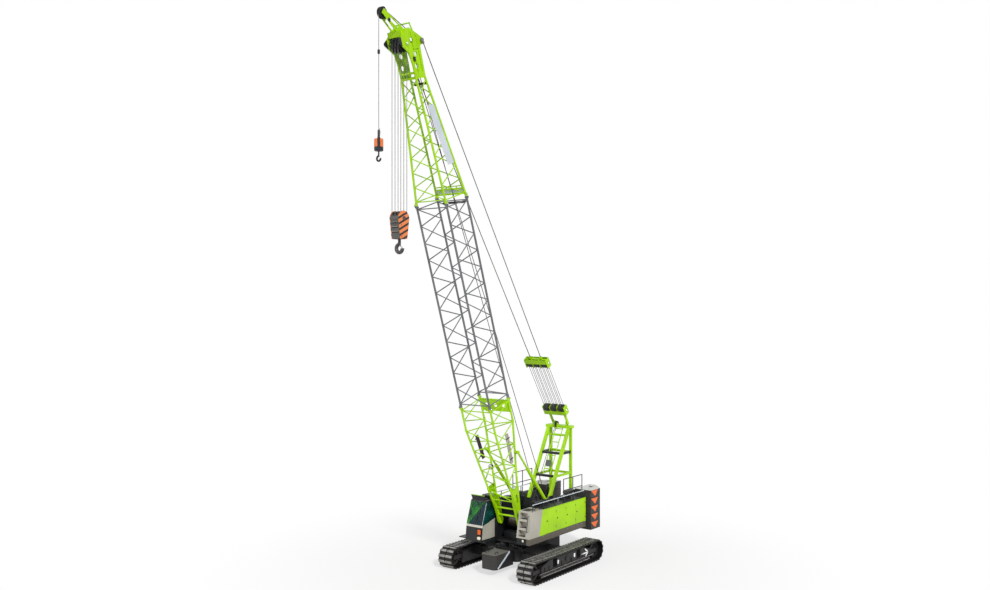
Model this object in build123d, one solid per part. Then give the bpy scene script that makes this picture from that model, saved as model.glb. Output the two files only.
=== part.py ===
from build123d import *
import math
import os

# A lattice-boom crane on two tracks, in millimetres. +X points forward, to the boom side, +Y to the
# operator's left and +Z up. The origin is on the slewing axis at the ground.

# Tracks
TRACK_LENGTH = 5940.0
TRACK_HEIGHT = 980.0
TRACK_SPAN = 5100.0
TRACK_STROKE = 700.0
SHOE_WIDTH = 760.0
SHOE_COUNT = 58
SHOE_GROOVE = 90.0
GROOVE_DEPTH = 8.0
LUG_HEIGHT = 42.0
SHOE_PLATE = 34.0
LINK_HEIGHT = 62.0
LINK_WIDTH = 300.0
TRACK_FRAME_WIDTH = 540.0
TRACK_FRAME_LOW = 350.0
TRACK_FRAME_SHORT = 480.0
TRACK_FRAME_END_HIGH = 640.0
TRACK_FRAME_SHOULDER = 420.0
LEDGE_HEIGHT = 36.0
LEDGE_REACH = 45.0
COVER_RADIUS = 120.0
COVER_Z = 640.0
COVER_PLATE = 25.0
GUARD_PLATE = 36.0
GUARD_GAP = 400.0
GUARD_LOW = 170.0
ROLLER_RADIUS = 96.0
ROLLER_COUNT = 9
ROLLER_INSET = 640.0
ROLLER_GAP = 15.0
ROLLER_AXLE = 30.0
WHEEL_WIDTH = 300.0
YOKE_GAP = 340.0
YOKE_PLATE = 45.0
YOKE_HEIGHT = 180.0
YOKE_REACH = 110.0
DRIVE_RADIUS = 215.0
DRIVE_REACH = 150.0
SKID_LENGTH = 320.0
SKID_WIDTH = 180.0
SKID_PITCH = 500.0
WHEEL_HUB = 120.0
WHEEL_RIM = 90.0
WHEEL_DISH = 70.0

# Car body and slewing ring
BEAM_X = 955.0
BEAM_WIDTH = 300.0
BEAM_LOW = 460.0
BEAM_HIGH = 800.0
BEAM_SHORT = 40.0
BEAM_CLEARANCE = 12.0
SLEEVE_WALL = 40.0
SLEEVE_LENGTH = 380.0
SLEEVE_STOP = 50.0
CARBODY_LENGTH = 2560.0
CARBODY_CHAMFER = 260.0
CARBODY_LOW = 420.0
CARBODY_HIGH = 1000.0
PEDESTAL_RADIUS = 860.0
RING_OUTER = 820.0
RING_INNER = 640.0
RING_LOW = 1040.0
RING_HIGH = 1192.0
SLEW_GAP = 8.0
BALLAST_FRONT = 2600.0
BALLAST_WIDTH = 820.0
BALLAST_LOW = 300.0
BALLAST_HIGH = 950.0
BALLAST_CHAMFER = 110.0

# Turntable and house
DECK_PLATE = 100.0
DECK_FRONT = 1150.0
DECK_REAR = -3080.0
DECK_HALF_WIDTH = 950.0
TAIL_LENGTH = 260.0
TAIL_HALF_WIDTH = 760.0
RIB_WIDTH = 120.0
RIB_PITCH = 1400.0
RIB_INSET = 380.0
RIB_COUNT = 3
BEAM_LAP = 60.0
PLATFORM_INSET = 40.0
WEB_INNER = 640.0
WEB_PLATE = 80.0
WEB_HIGH = 2240.0
FOOT_LUG = 190.0
FOOT_SEAT = 100.0
SEAT_LOW = 420.0
SEAT_HIGH = 120.0
PIN_PLAY = 0.5
POST_LAP = 300.0
POST_HALF_FOOT = 190.0
POST_HALF_TOP = 80.0
HOUSE_HALF_WIDTH = 1570.0
HOUSE_INNER = 860.0
HOUSE_REAR = -2970.0
SKIRT_LOW = 1370.0
PANEL_LOW = 1640.0
PANEL_HIGH = 2800.0
HOUSE_WALL = 40.0
DOOR_THICKNESS = 50.0
DOOR_GAP = 10.0
DOOR_SEAT = 2.0
DOOR_CHAMFER = 6.0
DOOR_REAR = -2920.0
LEFT_DOOR_PITCH = 828.0
LEFT_DOOR_COUNT = 4
RIGHT_DOOR_PITCH = 1300.0
RIGHT_DOOR_COUNT = 2
LATCH_INSET = 110.0
LATCH_Z = 2210.0
LATCH_WIDTH = 100.0
LATCH_HEIGHT = 70.0
LATCH_DEPTH = 12.0
LOUVRE_COUNT = 9
LOUVRE_PITCH = 90.0
LOUVRE_HEIGHT = 40.0
LOUVRE_MARGIN = 200.0
LOUVRE_DEPTH = 18.0
PILLAR_WIDTH = 90.0
NOSE_FRONT_LOW = 1670.0
NOSE_FRONT_HIGH = 1440.0
NOSE_REAR_LOW = 910.0
NOSE_REAR_HIGH = 630.0
STEP_DEPTH = 220.0
STEP_HEIGHT = 270.0
STEP_PITCH = 370.0
STEP_COUNT = 3
STEP_WIDTH = 400.0
STEP_MARGIN = 75.0
RIGHT_HOUSE_FRONT = 420.0
ENGINE_LENGTH = 1450.0
ENGINE_HEIGHT = 860.0
ENGINE_INSET = 170.0
RAIL_REAR = -2830.0
RAIL_LENGTH = 1590.0
RAIL_POSTS = 3
RAIL_HEIGHT = 1050.0
RAIL_RADIUS = 20.0
RAIL_INSET = 70.0
LOW_RAIL_HEIGHT = 300.0
LOW_RAIL_INSET = 25.0
LOW_RAIL_PITCH = 850.0
WALK_REAR = -300.0
WALK_GAP = 80.0
WALK_PLATE = 40.0
ARM_PLATE = 10.0
ARM_WIDTH = 100.0

# Counterweight
WEIGHT_FRONT = -3120.0
WEIGHT_HALF_WIDTH = 1770.0
WEIGHT_SIDE_REAR = -3960.0
WEIGHT_TAIL = -4520.0
WEIGHT_TAIL_HALF_WIDTH = 1180.0
WEIGHT_LOW = 1200.0
WEIGHT_SLAB = 376.0
WEIGHT_SLABS = 5
WEIGHT_GROOVE = 18.0
WEIGHT_INNER = 850.0
RECESS_X = -3950.0
RECESS_Y = 1250.0
RECESS_RADIUS = 100.0
RECESS_LENGTH = 300.0
RECESS_DEPTH = 80.0

# Gantry and winches
GANTRY_X = -3200.0
GANTRY_PEAK_Z = 6170.0
GANTRY_FOOT_X = -1320.0
GANTRY_FOOT_Z = 2880.0
GANTRY_HALF_WIDTH = 570.0
GANTRY_LEG = 120.0
GANTRY_REAR_LEG = 100.0
GANTRY_HEAD_LOW = 5950.0
GANTRY_HEAD_PLATE = 130.0
GANTRY_BAR = 100.0
GANTRY_BARS = (0.32, 0.64)
LADDER_Y = 50.0
LADDER_WIDTH = 400.0
LADDER_RUNG = 300.0
LADDER_RADIUS = 22.0
GANTRY_EAR_Y = 360.0
GANTRY_EAR = 60.0
PEAK_PIN = 40.0
DRUM_RADIUS = 250.0
DRUM_FLANGE = 350.0
DRUM_SHAFT = 90.0
DRUM_INSET = 130.0
DRUM_PLATE = 40.0
DRUM_Z = 1930.0
MAIN_DRUM_X = 120.0
AUX_DRUM_X = -680.0
LUFF_DRUM_X = -2250.0

# Cab
CAB_INNER = 750.0
CAB_OUTER = 1650.0
CAB_REAR = 620.0
CAB_LOW = 1300.0
CAB_HIGH = 3050.0
CAB_SILL_Z = 1970.0
CAB_FRONT_LOW = 2120.0
CAB_FRONT_SILL = 2050.0
CAB_FRONT_HIGH = 1690.0
CAB_WALL = 50.0
CAB_ROOF = 80.0
REAR_MARGIN = 150.0
SIDE_MARGIN = 100.0
SILL_MARGIN = 40.0
FRONT_MARGIN = 70.0
SEAT_BACK = 90.0
SEAT_DEPTH = 600.0
SEAT_HEIGHT = 450.0
SEAT_RISE = 690.0
SEAT_WIDTH = 500.0
GLASS = 12.0
CAB_DOOR_REAR = 900.0
CAB_DOOR_WIDTH = 720.0
CAB_DOOR_TRAVEL = 700.0
CAB_DOOR_LAP = 40.0
CAB_DOOR_GAP = 20.0
CAB_TRACK = 75.0
CAB_WINDOW_RISE = 300.0
VISOR_RISE = 240.0
VISOR_REACH = 110.0
VISOR_PLATE = 30.0
VISOR_MARGIN = 70.0
LAMP_RADIUS = 60.0
LAMP_REACH = 45.0
LAMP_INSET = 170.0
LAMP_LOW = 1430.0
LAMP_HIGH = 1700.0
WALKWAY_OUTER = 2380.0

# Boom
FOOT_X = 960.0
FOOT_Z = 2100.0
FOOT_HALF_SPAN = 540.0
FOOT_PLATE = 120.0
FOOT_PIN = 60.0
BOOM_ANGLE = 71.3
BOOM_WIDTH = 1590.0
BOOM_DEPTH = 1360.0
BASE_LENGTH = 5860.0
BASE_TAPER = 4750.0
BASE_PANELS = 9
CHORD_START = 560.0
LACING_START = 1150.0
INSERT_LENGTH = 9000.0
INSERT_PANELS = 12
TOP_LENGTH = 5070.0
TOP_PANELS = 8
CHORD_RADIUS = 46.0
BRACE_RADIUS = 25.0
KNEE_RADIUS = 54.0
KNEE_LENGTH = 100.0
JOINT_INSET = 150.0
COLLAR_RADIUS = 64.0
COLLAR_LENGTH = 120.0
JOINT_PIN = 26.0
JOINT_PIN_LENGTH = 190.0
FOOT_EYE = 140.0
FOOT_WEB_LENGTH = 1250.0
FOOT_HOLE = 75.0
FOOT_HOLE_S = 950.0
FOOT_TIE = 40.0
FOOT_TIE_PITCH = 360.0
REAR_PLATE_LENGTH = 560.0
REAR_PLATE = 24.0
REAR_PLATE_HOLE = 95.0
REAR_PLATE_HOLE_PITCH = 460.0
CROSS_FRAME = 300.0
HEAD_HALF_WIDTH = 400.0
HEAD_PLATE = 50.0
HEAD_REAR = 140.0
HEAD_FRONT = -390.0
HEAD_HEIGHT = 1870.0
HEAD_CROWN = -220.0
HEAD_CROWN_DROP = 140.0
HEAD_HOLE = 105.0
HEAD_HOLES = ((390.0, -200.0), (850.0, -150.0), (1380.0, -220.0))
HEAD_BROW = 335.0
HEAD_NOSE = 445.0
HEAD_TUBE = 1500.0
HEAD_TIE = 45.0
SHEAVE_RISE = 1285.0
SHEAVE_N = -515.0
SHEAVE_PITCH = 160.0
SHEAVE_WIDTH = 90.0
SHEAVE_LIP = 14.0
SHEAVE_RIM = 35.0
SHEAVE_SHAFT = 50.0
GROOVE_HALF = 16.0
ROPE_LINE = 250.0
ROPE_RADIUS = 13.0
EAR_RISE = 1330.0
EAR_N = 340.0
EAR_RADIUS = 90.0
EAR_EDGE = 14.0
EAR_BOSS = 30.0
BOW_RISE = 170.0
BOW_RADIUS = 28.0
TIP_RISE = 2565.0
TIP_N = -1085.0
TIP_FOOT_RISE = 1820.0
TIP_FOOT_LOW = -680.0
TIP_FOOT_HIGH = -160.0
TIP_BOX = 230.0
TIP_NECK = 110.0
TIP_RIM = 55.0
TIP_WINDOW = (0.16, 0.66)
TIP_PLATE = 35.0
TIP_ROPE_LINE = 200.0
TIP_HALF_WIDTH = 130.0

# Boom stays and backstops
LINK_LENGTH = 830.0
LINK_SIDE_GAP = 10.0
YOKE_WIDTH = 1250.0
YOKE_PLATE_STAYS = 30.0
YOKE_HALF_LENGTH = 230.0
YOKE_HALF_DEPTH = 150.0
YOKE_GUARD = 9.0
YOKE_SCALLOP = 110.0
YOKE_TIE = 40.0
YOKE_ROPE_LINE = 120.0
YOKE_RIM = 14.0
YOKE_SHEAVE = 80.0
YOKE_SHEAVE_PITCH = 120.0
LINK_PLATE = 40.0
LINK_HALF_DEPTH = 70.0
LINK_FOOT = 70.0
HORN_LENGTH = 100.0
HORN_HALF = 40.0
NECK = 50.0
PENDANT_EYE = 75.0
PENDANT_HALF = 30.0
PENDANT_END = 160.0
BRIDLE_AT = 3620.0
STAY_RADIUS = 20.0
STAY_START_Y = 300.0
STAY_GAP = 12.0
BACKSTOP_X = -560.0
BACKSTOP_Z = 2960.0
BACKSTOP_Y = 880.0
BACKSTOP_S = 3310.0
BACKSTOP_TUBE = 75.0
BACKSTOP_ROD = 45.0
BACKSTOP_TUBE_LENGTH = 2150.0
BACKSTOP_ROD_LENGTH = 2450.0
BACKSTOP_PIN = 30.0
BACKSTOP_EYE = 85.0
BACKSTOP_EYE_HALF = 55.0
BACKSTOP_LUG = 70.0
ROD_PLAY = 2.0
TUBE_BOTTOM = 140.0

# Hooks
BLOCK_AXIS_Z = 15260.0
BLOCK_RADIUS = 300.0
BLOCK_LOW = 14460.0
BLOCK_HALF_WIDTH = 245.0
BLOCK_CHEEK = 30.0
BLOCK_TAPER = 0.62
BLOCK_COVER = 10.0
BLOCK_COVER_HALF = 100.0
BLOCK_HEAD = 300.0
HOOK_BOTTOM = 13860.0
HOOK_BOW = 158.0
HOOK_THICKNESS = 74.0
AUX_TOP_Z = 18550.0
AUX_BOTTOM = 17330.0
AUX_RADIUS = 175.0
AUX_WEIGHT_HEIGHT = 480.0
AUX_SOCKET = 330.0
AUX_SOCKET_RADIUS = 45.0
AUX_ROUND = 40.0
AUX_BOW = 95.0
AUX_THICKNESS = 36.0
HOOK_GAP = 6.0

TRACK_Y = (TRACK_SPAN - SHOE_WIDTH) / 2
FRAME_INNER = TRACK_Y - TRACK_FRAME_WIDTH / 2
FRAME_OUTER = TRACK_Y + TRACK_FRAME_WIDTH / 2
SLEEVE_END = FRAME_INNER - SLEEVE_LENGTH
BEAM_END = FRAME_INNER - BEAM_SHORT
CARBODY_WIDTH = 2 * (SLEEVE_END - TRACK_STROKE - SLEEVE_STOP)
NODES = {}


def block(x0, x1, y0, y1, z0, z1):
    """A box between two corners."""
    return Pos((x0 + x1) / 2, (y0 + y1) / 2, (z0 + z1) / 2) * Box(abs(x1 - x0), abs(y1 - y0), abs(z1 - z0))


def plate_y(points, y0, y1):
    """A plate with an (x, z) outline, between two values of y."""
    outline = Wire.make_polygon([(x, y0, z) for x, z in points], close=True)
    return Part(Solid.extrude(Face(outline), Vector(0, y1 - y0, 0)).wrapped)


def plate_z(points, z0, z1):
    """A plate with an (x, y) outline, between two heights."""
    outline = Wire.make_polygon([(x, y, z0) for x, y in points], close=True)
    return Part(Solid.extrude(Face(outline), Vector(0, 0, z1 - z0)).wrapped)


def rod(start, end, radius):
    """A round bar from one point to another."""
    run = Vector(*end) - Vector(*start)
    return Part(Solid.make_cylinder(radius, run.length, Plane(start, z_dir=run)).wrapped)


def strut(start, end, radius, sides=6):
    """A bar with a regular polygon for its section, from one point to another."""
    run = Vector(*end) - Vector(*start)
    section = Plane(start, z_dir=run) * RegularPolygon(radius, sides)
    return extrude(section, run.length)


def tube(start, end, radius):
    """A bar with twelve flats, for tubes that many others run into."""
    return strut(start, end, radius, 12)


def pin_y(x, z, radius, y0, y1):
    """A round bar along Y."""
    return rod((x, y0, z), (x, y1, z), radius)


def mirrored(shape):
    """The same shape on the other side of the machine."""
    return mirror(shape, Plane.XZ)


def both(shape):
    """A shape and its twin on the other side."""
    return [shape, mirrored(shape)]


def joined(*shapes):
    """One solid from shapes that meet."""
    return Part() + list(shapes)


def keep(name, *shapes):
    """Files one node, as one solid or as several that stay apart."""
    solids = [solid for shape in shapes for solid in shape.solids()]
    NODES[name] = solids[0] if len(solids) == 1 else Compound(children=solids)


def sheave(rope_line, width, rim):
    """A grooved wheel on the Y axis at the origin; rope_line is the radius of the rope's centre."""
    half = width / 2
    floor = rope_line - ROPE_RADIUS - 1
    profile = [(0, -half), (rim, -half), (rim, -half + SHEAVE_LIP), (floor, -GROOVE_HALF), (floor, GROOVE_HALF),
               (rim, half - SHEAVE_LIP), (rim, half), (0, half)]
    outline = Wire.make_polygon([(x, y, 0) for x, y in profile], close=True)
    return Part(Solid.revolve(Face(outline), 360, Axis.Y).wrapped)


# Tracks
LOOP_RADIUS = TRACK_HEIGHT / 2 - LUG_HEIGHT - SHOE_PLATE
LOOP_HALF = TRACK_LENGTH / 2 - TRACK_HEIGHT / 2
LOOP_Z = TRACK_HEIGHT / 2
LOOP_LENGTH = 4 * LOOP_HALF + 2 * math.pi * LOOP_RADIUS
LINK_INNER = LOOP_RADIUS - LINK_HEIGHT


def loop_point(along, out):
    """The (x, z) of a place on the track loop, by its distance along it and its height above it."""
    along %= LOOP_LENGTH
    arc = math.pi * LOOP_RADIUS
    reach = LOOP_RADIUS + out
    if along < 2 * LOOP_HALF:
        return (along - LOOP_HALF, LOOP_Z + reach)
    along -= 2 * LOOP_HALF
    if along < arc:
        turn = math.pi / 2 - along / LOOP_RADIUS
        return (LOOP_HALF + reach * math.cos(turn), LOOP_Z + reach * math.sin(turn))
    along -= arc
    if along < 2 * LOOP_HALF:
        return (LOOP_HALF - along, LOOP_Z - reach)
    turn = -math.pi / 2 - (along - 2 * LOOP_HALF) / LOOP_RADIUS
    return (-LOOP_HALF + reach * math.cos(turn), LOOP_Z + reach * math.sin(turn))


def slot_y(radius, y0, y1):
    """A flat-sided loop of the track's length, filled, between two values of y."""
    ends = [pin_y(x, LOOP_Z, radius, y0, y1) for x in (-LOOP_HALF, LOOP_HALF)]
    return joined(block(-LOOP_HALF, LOOP_HALF, y0, y1, LOOP_Z - radius, LOOP_Z + radius), *ends)


def track_belt():
    """The shoes and the link chain as one closed loop, on the left; a plain groove parts the lugs."""
    pitch = LOOP_LENGTH / SHOE_COUNT
    lug = SHOE_PLATE + LUG_HEIGHT
    outline = []
    for shoe in range(SHOE_COUNT):
        middle = (shoe + 0.5) * pitch
        steps = [(-0.36, SHOE_PLATE), (-0.28, lug), (0.16, lug), (0.28, SHOE_PLATE)]
        outline += [loop_point(middle + share * pitch, out) for share, out in steps]
    low = TRACK_Y - SHOE_WIDTH / 2
    high = TRACK_Y + SHOE_WIDTH / 2
    groove_low = TRACK_Y - SHOE_GROOVE / 2
    groove_high = TRACK_Y + SHOE_GROOVE / 2
    strips = [plate_y(outline, low, groove_low), plate_y(outline, groove_high, high),
              slot_y(LOOP_RADIUS + SHOE_PLATE - GROOVE_DEPTH, groove_low, groove_high)]
    shoes = joined(*strips) - slot_y(LOOP_RADIUS, low, high)
    chain_low = TRACK_Y - LINK_WIDTH / 2
    chain_high = TRACK_Y + LINK_WIDTH / 2
    chain = slot_y(LOOP_RADIUS, chain_low, chain_high) - slot_y(LINK_INNER, chain_low, chain_high)
    return joined(shoes, chain)


def track_frame():
    """The side frame of the left track: sockets for the beams, roller guards, ledge, idler yoke and drive."""
    top = BEAM_HIGH + BEAM_CLEARANCE + SLEEVE_WALL / 2
    end = LOOP_HALF - TRACK_FRAME_SHORT
    low = TRACK_FRAME_LOW
    shoulder = BEAM_X + TRACK_FRAME_SHOULDER
    side = [(-end, low), (end, low), (end, TRACK_FRAME_END_HIGH), (shoulder, top), (-shoulder, top),
            (-end, TRACK_FRAME_END_HIGH)]
    shapes = [plate_y(side, FRAME_INNER, FRAME_OUTER)]
    shapes.append(block(-end, end, FRAME_OUTER, FRAME_OUTER + LEDGE_REACH, low, low + LEDGE_HEIGHT))
    shapes.append(pin_y(0, COVER_Z, COVER_RADIUS, FRAME_OUTER, FRAME_OUTER + COVER_PLATE))
    for way in (-1, 1):
        guard = TRACK_Y + way * GUARD_GAP / 2
        shapes.append(block(-end, end, guard, guard + way * GUARD_PLATE, GUARD_LOW, low))
        arm = TRACK_Y + way * YOKE_GAP / 2
        shapes += [block(x * end, x * (LOOP_HALF + YOKE_REACH), arm, arm + way * YOKE_PLATE,
                         LOOP_Z - YOKE_HEIGHT / 2, LOOP_Z + YOKE_HEIGHT / 2) for x in (-1, 1)]
    drive = TRACK_Y - YOKE_GAP / 2 - YOKE_PLATE
    shapes.append(pin_y(-LOOP_HALF, LOOP_Z, DRIVE_RADIUS, drive - DRIVE_REACH, drive))
    shapes += [block(x - SKID_LENGTH / 2, x + SKID_LENGTH / 2, TRACK_Y - SKID_WIDTH / 2, TRACK_Y + SKID_WIDTH / 2,
                     top, LOOP_Z + LINK_INNER - 2) for x in (-SKID_PITCH, 0, SKID_PITCH)]
    half = BEAM_WIDTH / 2 + BEAM_CLEARANCE
    wall = SLEEVE_WALL + BEAM_CLEARANCE
    shapes += [block(x - half - SLEEVE_WALL, x + half + SLEEVE_WALL, SLEEVE_END, FRAME_INNER,
                     BEAM_LOW - wall, BEAM_HIGH + wall) for x in (-BEAM_X, BEAM_X)]
    sockets = [block(x - half, x + half, SLEEVE_END - 1, FRAME_OUTER + LEDGE_REACH + 1, BEAM_LOW - BEAM_CLEARANCE,
                     BEAM_HIGH + BEAM_CLEARANCE) for x in (-BEAM_X, BEAM_X)]
    return joined(*shapes) - sockets


def track_wheels():
    """The dished idler in front, the drive wheel behind and the rollers under the left frame."""
    wheels = []
    half = WHEEL_WIDTH / 2
    rim = LINK_INNER - 3
    for x in (-LOOP_HALF, LOOP_HALF):
        wheel = pin_y(x, LOOP_Z, rim, TRACK_Y - half, TRACK_Y + half)
        for way in (-1, 1):
            face = TRACK_Y + way * half
            floor = face - way * WHEEL_DISH
            wheel -= pin_y(x, LOOP_Z, rim - WHEEL_RIM, min(face, floor), max(face, floor))
        shaft = pin_y(x, LOOP_Z, WHEEL_HUB, TRACK_Y - YOKE_GAP / 2, TRACK_Y + YOKE_GAP / 2)
        wheels.append(joined(wheel, shaft))
    roller_z = LOOP_Z - LINK_INNER + ROLLER_RADIUS + 2
    reach = LOOP_HALF - ROLLER_INSET
    for number in range(ROLLER_COUNT):
        x = -reach + 2 * reach * number / (ROLLER_COUNT - 1)
        low, high = TRACK_Y - GUARD_GAP / 2, TRACK_Y + GUARD_GAP / 2
        body = pin_y(x, roller_z, ROLLER_RADIUS, low + ROLLER_GAP, high - ROLLER_GAP)
        wheels.append(joined(body, pin_y(x, roller_z, ROLLER_AXLE, low, high)))
    return wheels


def make_tracks():
    """Both tracks."""
    belt = track_belt()
    frame = track_frame()
    wheels = track_wheels()
    keep("left_track_belt", belt)
    keep("left_track_frame", frame)
    keep("left_track_wheels", *wheels)
    keep("right_track_belt", mirrored(belt))
    keep("right_track_frame", mirrored(frame))
    keep("right_track_wheels", *[mirrored(wheel) for wheel in wheels])


def make_carbody():
    """The car body with its two beams, its ballast boxes and the slewing ring."""
    body = block(-CARBODY_LENGTH / 2, CARBODY_LENGTH / 2, -CARBODY_WIDTH / 2, CARBODY_WIDTH / 2,
                 CARBODY_LOW, CARBODY_HIGH)
    body = chamfer(body.edges().filter_by(Axis.Z), CARBODY_CHAMFER)
    beams = [block(x - BEAM_WIDTH / 2, x + BEAM_WIDTH / 2, -BEAM_END, BEAM_END, BEAM_LOW, BEAM_HIGH)
             for x in (-BEAM_X, BEAM_X)]
    pedestal = rod((0, 0, CARBODY_HIGH), (0, 0, RING_LOW), PEDESTAL_RADIUS)
    keep("carbody_frame", joined(body, pedestal, *beams))
    boxes = []
    for way, far in ((-1, 0), (1, -1)):
        box = block(way * CARBODY_LENGTH / 2, way * BALLAST_FRONT, -BALLAST_WIDTH / 2, BALLAST_WIDTH / 2,
                    BALLAST_LOW, BALLAST_HIGH)
        corners = box.edges().filter_by(Axis.Z).group_by(Axis.X)[far]
        boxes.append(chamfer(corners, BALLAST_CHAMFER))
    keep("carbody_ballast", *boxes)
    ring = rod((0, 0, RING_LOW), (0, 0, RING_HIGH), RING_OUTER)
    keep("slew_ring", ring - rod((0, 0, RING_LOW), (0, 0, RING_HIGH), RING_INNER))


# Turntable and house
DECK_LOW = RING_HIGH + SLEW_GAP
DECK_HIGH = DECK_LOW + DECK_PLATE
WEB_OUTER = WEB_INNER + WEB_PLATE
TAIL_REAR = DECK_REAR - TAIL_LENGTH
LEG_REAR = GANTRY_X - GANTRY_REAR_LEG / 2
LEG_FRONT = GANTRY_X + GANTRY_REAR_LEG / 2
DOOR_INSIDE = HOUSE_HALF_WIDTH - DOOR_THICKNESS - DOOR_SEAT
BACKSTOP_INNER = WEB_OUTER + WEB_PLATE / 2


def turntable_web():
    """The left main web: boom foot lug in front, raised seats for the gantry's feet and the backstop."""
    seat = GANTRY_FOOT_Z + FOOT_SEAT
    side = [(TAIL_REAR, DECK_HIGH), (DECK_FRONT, DECK_HIGH), (FOOT_X + FOOT_LUG, FOOT_Z),
            (FOOT_X - FOOT_LUG, WEB_HIGH),
            (GANTRY_FOOT_X + SEAT_LOW, WEB_HIGH), (GANTRY_FOOT_X + SEAT_HIGH, seat),
            (GANTRY_FOOT_X - SEAT_HIGH, seat), (GANTRY_FOOT_X - SEAT_LOW, WEB_HIGH),
            (LEG_FRONT + SEAT_HIGH, WEB_HIGH), (LEG_FRONT + GANTRY_REAR_LEG / 2, seat), (TAIL_REAR, seat)]
    web = plate_y(side, WEB_INNER, WEB_OUTER)
    lug = pin_y(FOOT_X, FOOT_Z, FOOT_LUG, WEB_INNER, WEB_OUTER)
    post_low = WEB_HIGH - POST_LAP
    post_high = BACKSTOP_Z + POST_HALF_TOP
    post = plate_y([(BACKSTOP_X - POST_HALF_FOOT, post_low), (BACKSTOP_X + POST_HALF_FOOT, post_low),
                    (BACKSTOP_X + POST_HALF_TOP, post_high), (BACKSTOP_X - POST_HALF_TOP, post_high)],
                   WEB_OUTER, BACKSTOP_INNER)
    pivot = pin_y(BACKSTOP_X, BACKSTOP_Z, BACKSTOP_PIN, BACKSTOP_INNER, BACKSTOP_Y + BACKSTOP_EYE_HALF + 5)
    bore = pin_y(FOOT_X, FOOT_Z, FOOT_PIN + PIN_PLAY, WEB_INNER - 1, WEB_OUTER + 1)
    return joined(web, lug, post, pivot) - bore


def make_turntable():
    """The deck plate with its tail, main webs, side beams and cab platform as one welded frame."""
    deck = block(DECK_REAR, DECK_FRONT, -DECK_HALF_WIDTH, DECK_HALF_WIDTH, DECK_LOW, DECK_HIGH)
    tail = block(TAIL_REAR, DECK_REAR, -TAIL_HALF_WIDTH, TAIL_HALF_WIDTH, DECK_LOW, DECK_HIGH)
    inner = DECK_HALF_WIDTH - BEAM_LAP
    beam = block(HOUSE_REAR, NOSE_FRONT_LOW, inner, HOUSE_HALF_WIDTH, SKIRT_LOW, PANEL_LOW)
    right_beam = block(HOUSE_REAR, RIGHT_HOUSE_FRONT, -HOUSE_HALF_WIDTH, -inner, SKIRT_LOW, PANEL_LOW)
    rib_high = SKIRT_LOW + RIB_WIDTH
    ribs = []
    for number in range(RIB_COUNT):
        x = DECK_REAR + RIB_INSET + number * RIB_PITCH
        ribs.append(block(x - RIB_WIDTH / 2, x + RIB_WIDTH / 2, -DECK_HALF_WIDTH, DECK_HALF_WIDTH,
                          DECK_HIGH, rib_high))
    nose_rib = block(DECK_FRONT - RIB_WIDTH, DECK_FRONT, WEB_INNER, DECK_HALF_WIDTH, DECK_HIGH, rib_high)
    platform = block(CAB_REAR, CAB_FRONT_SILL - RIB_WIDTH, -CAB_OUTER + PLATFORM_INSET, -WEB_INNER,
                     DECK_LOW, CAB_LOW)
    keep("turntable_frame", joined(deck, tail, beam, right_beam, nose_rib, platform, *ribs, *both(turntable_web())))


def door_frame(doors, rear, pitch, front):
    """The left-hand cupboard of a house: floor, roof, inner wall, bulkheads and door pillars."""
    inside = DOOR_INSIDE
    shell = plate_y(front, HOUSE_INNER, inside)
    lip = block(HOUSE_REAR, rear + doors * pitch, inside, HOUSE_HALF_WIDTH, PANEL_HIGH - HOUSE_WALL, PANEL_HIGH)
    hollow = block(rear + HOUSE_WALL, rear + doors * pitch - HOUSE_WALL, HOUSE_INNER + HOUSE_WALL, inside + 1,
                   PANEL_LOW + HOUSE_WALL, PANEL_HIGH - HOUSE_WALL)
    pillars = [block(rear + number * pitch - PILLAR_WIDTH / 2, rear + number * pitch + PILLAR_WIDTH / 2,
                     inside - HOUSE_WALL, inside, PANEL_LOW, PANEL_HIGH - HOUSE_WALL) for number in range(1, doors)]
    return joined(shell - hollow, lip, *pillars)


def door(rear, pitch, louvres=0):
    """A left-hand side door with a recess for its latch and rows of louvres, hinged at its rear edge."""
    front = rear + pitch
    high = HOUSE_HALF_WIDTH + 1
    panel = block(rear + DOOR_GAP / 2, front - DOOR_GAP / 2, HOUSE_HALF_WIDTH - DOOR_THICKNESS,
                  HOUSE_HALF_WIDTH, PANEL_LOW + DOOR_GAP, PANEL_HIGH - HOUSE_WALL - DOOR_GAP)
    panel = chamfer(panel.faces().sort_by(Axis.Y)[-1].edges(), DOOR_CHAMFER)
    latch = front - LATCH_INSET
    panel -= block(latch - LATCH_WIDTH / 2, latch + LATCH_WIDTH / 2, HOUSE_HALF_WIDTH - LATCH_DEPTH, high,
                   LATCH_Z - LATCH_HEIGHT / 2, LATCH_Z + LATCH_HEIGHT / 2)
    for number in range(louvres):
        low = PANEL_LOW + LOUVRE_MARGIN + number * LOUVRE_PITCH
        panel -= block(rear + LOUVRE_MARGIN, latch - LATCH_WIDTH, HOUSE_HALF_WIDTH - LOUVRE_DEPTH, high,
                       low, low + LOUVRE_HEIGHT)
    return panel


def house_outline(front_low, front_high):
    """The side view of a house, from its rear to a slanted front edge."""
    return [(HOUSE_REAR, PANEL_LOW), (front_low, PANEL_LOW), (front_high, PANEL_HIGH), (HOUSE_REAR, PANEL_HIGH)]


def rail_run(rear, front, posts, y, heights):
    """A left-hand rail on the roof: upright posts, and pipes at the given heights that join them."""
    top = PANEL_HIGH + heights[-1]
    places = [rear + (front - rear) * number / (posts - 1) for number in range(posts)]
    bars = [strut((x, y, PANEL_HIGH), (x, y, top), RAIL_RADIUS) for x in places]
    for height in heights:
        bars.append(strut((rear, y, PANEL_HIGH + height), (front, y, PANEL_HIGH + height), RAIL_RADIUS))
    return joined(*bars)


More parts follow.
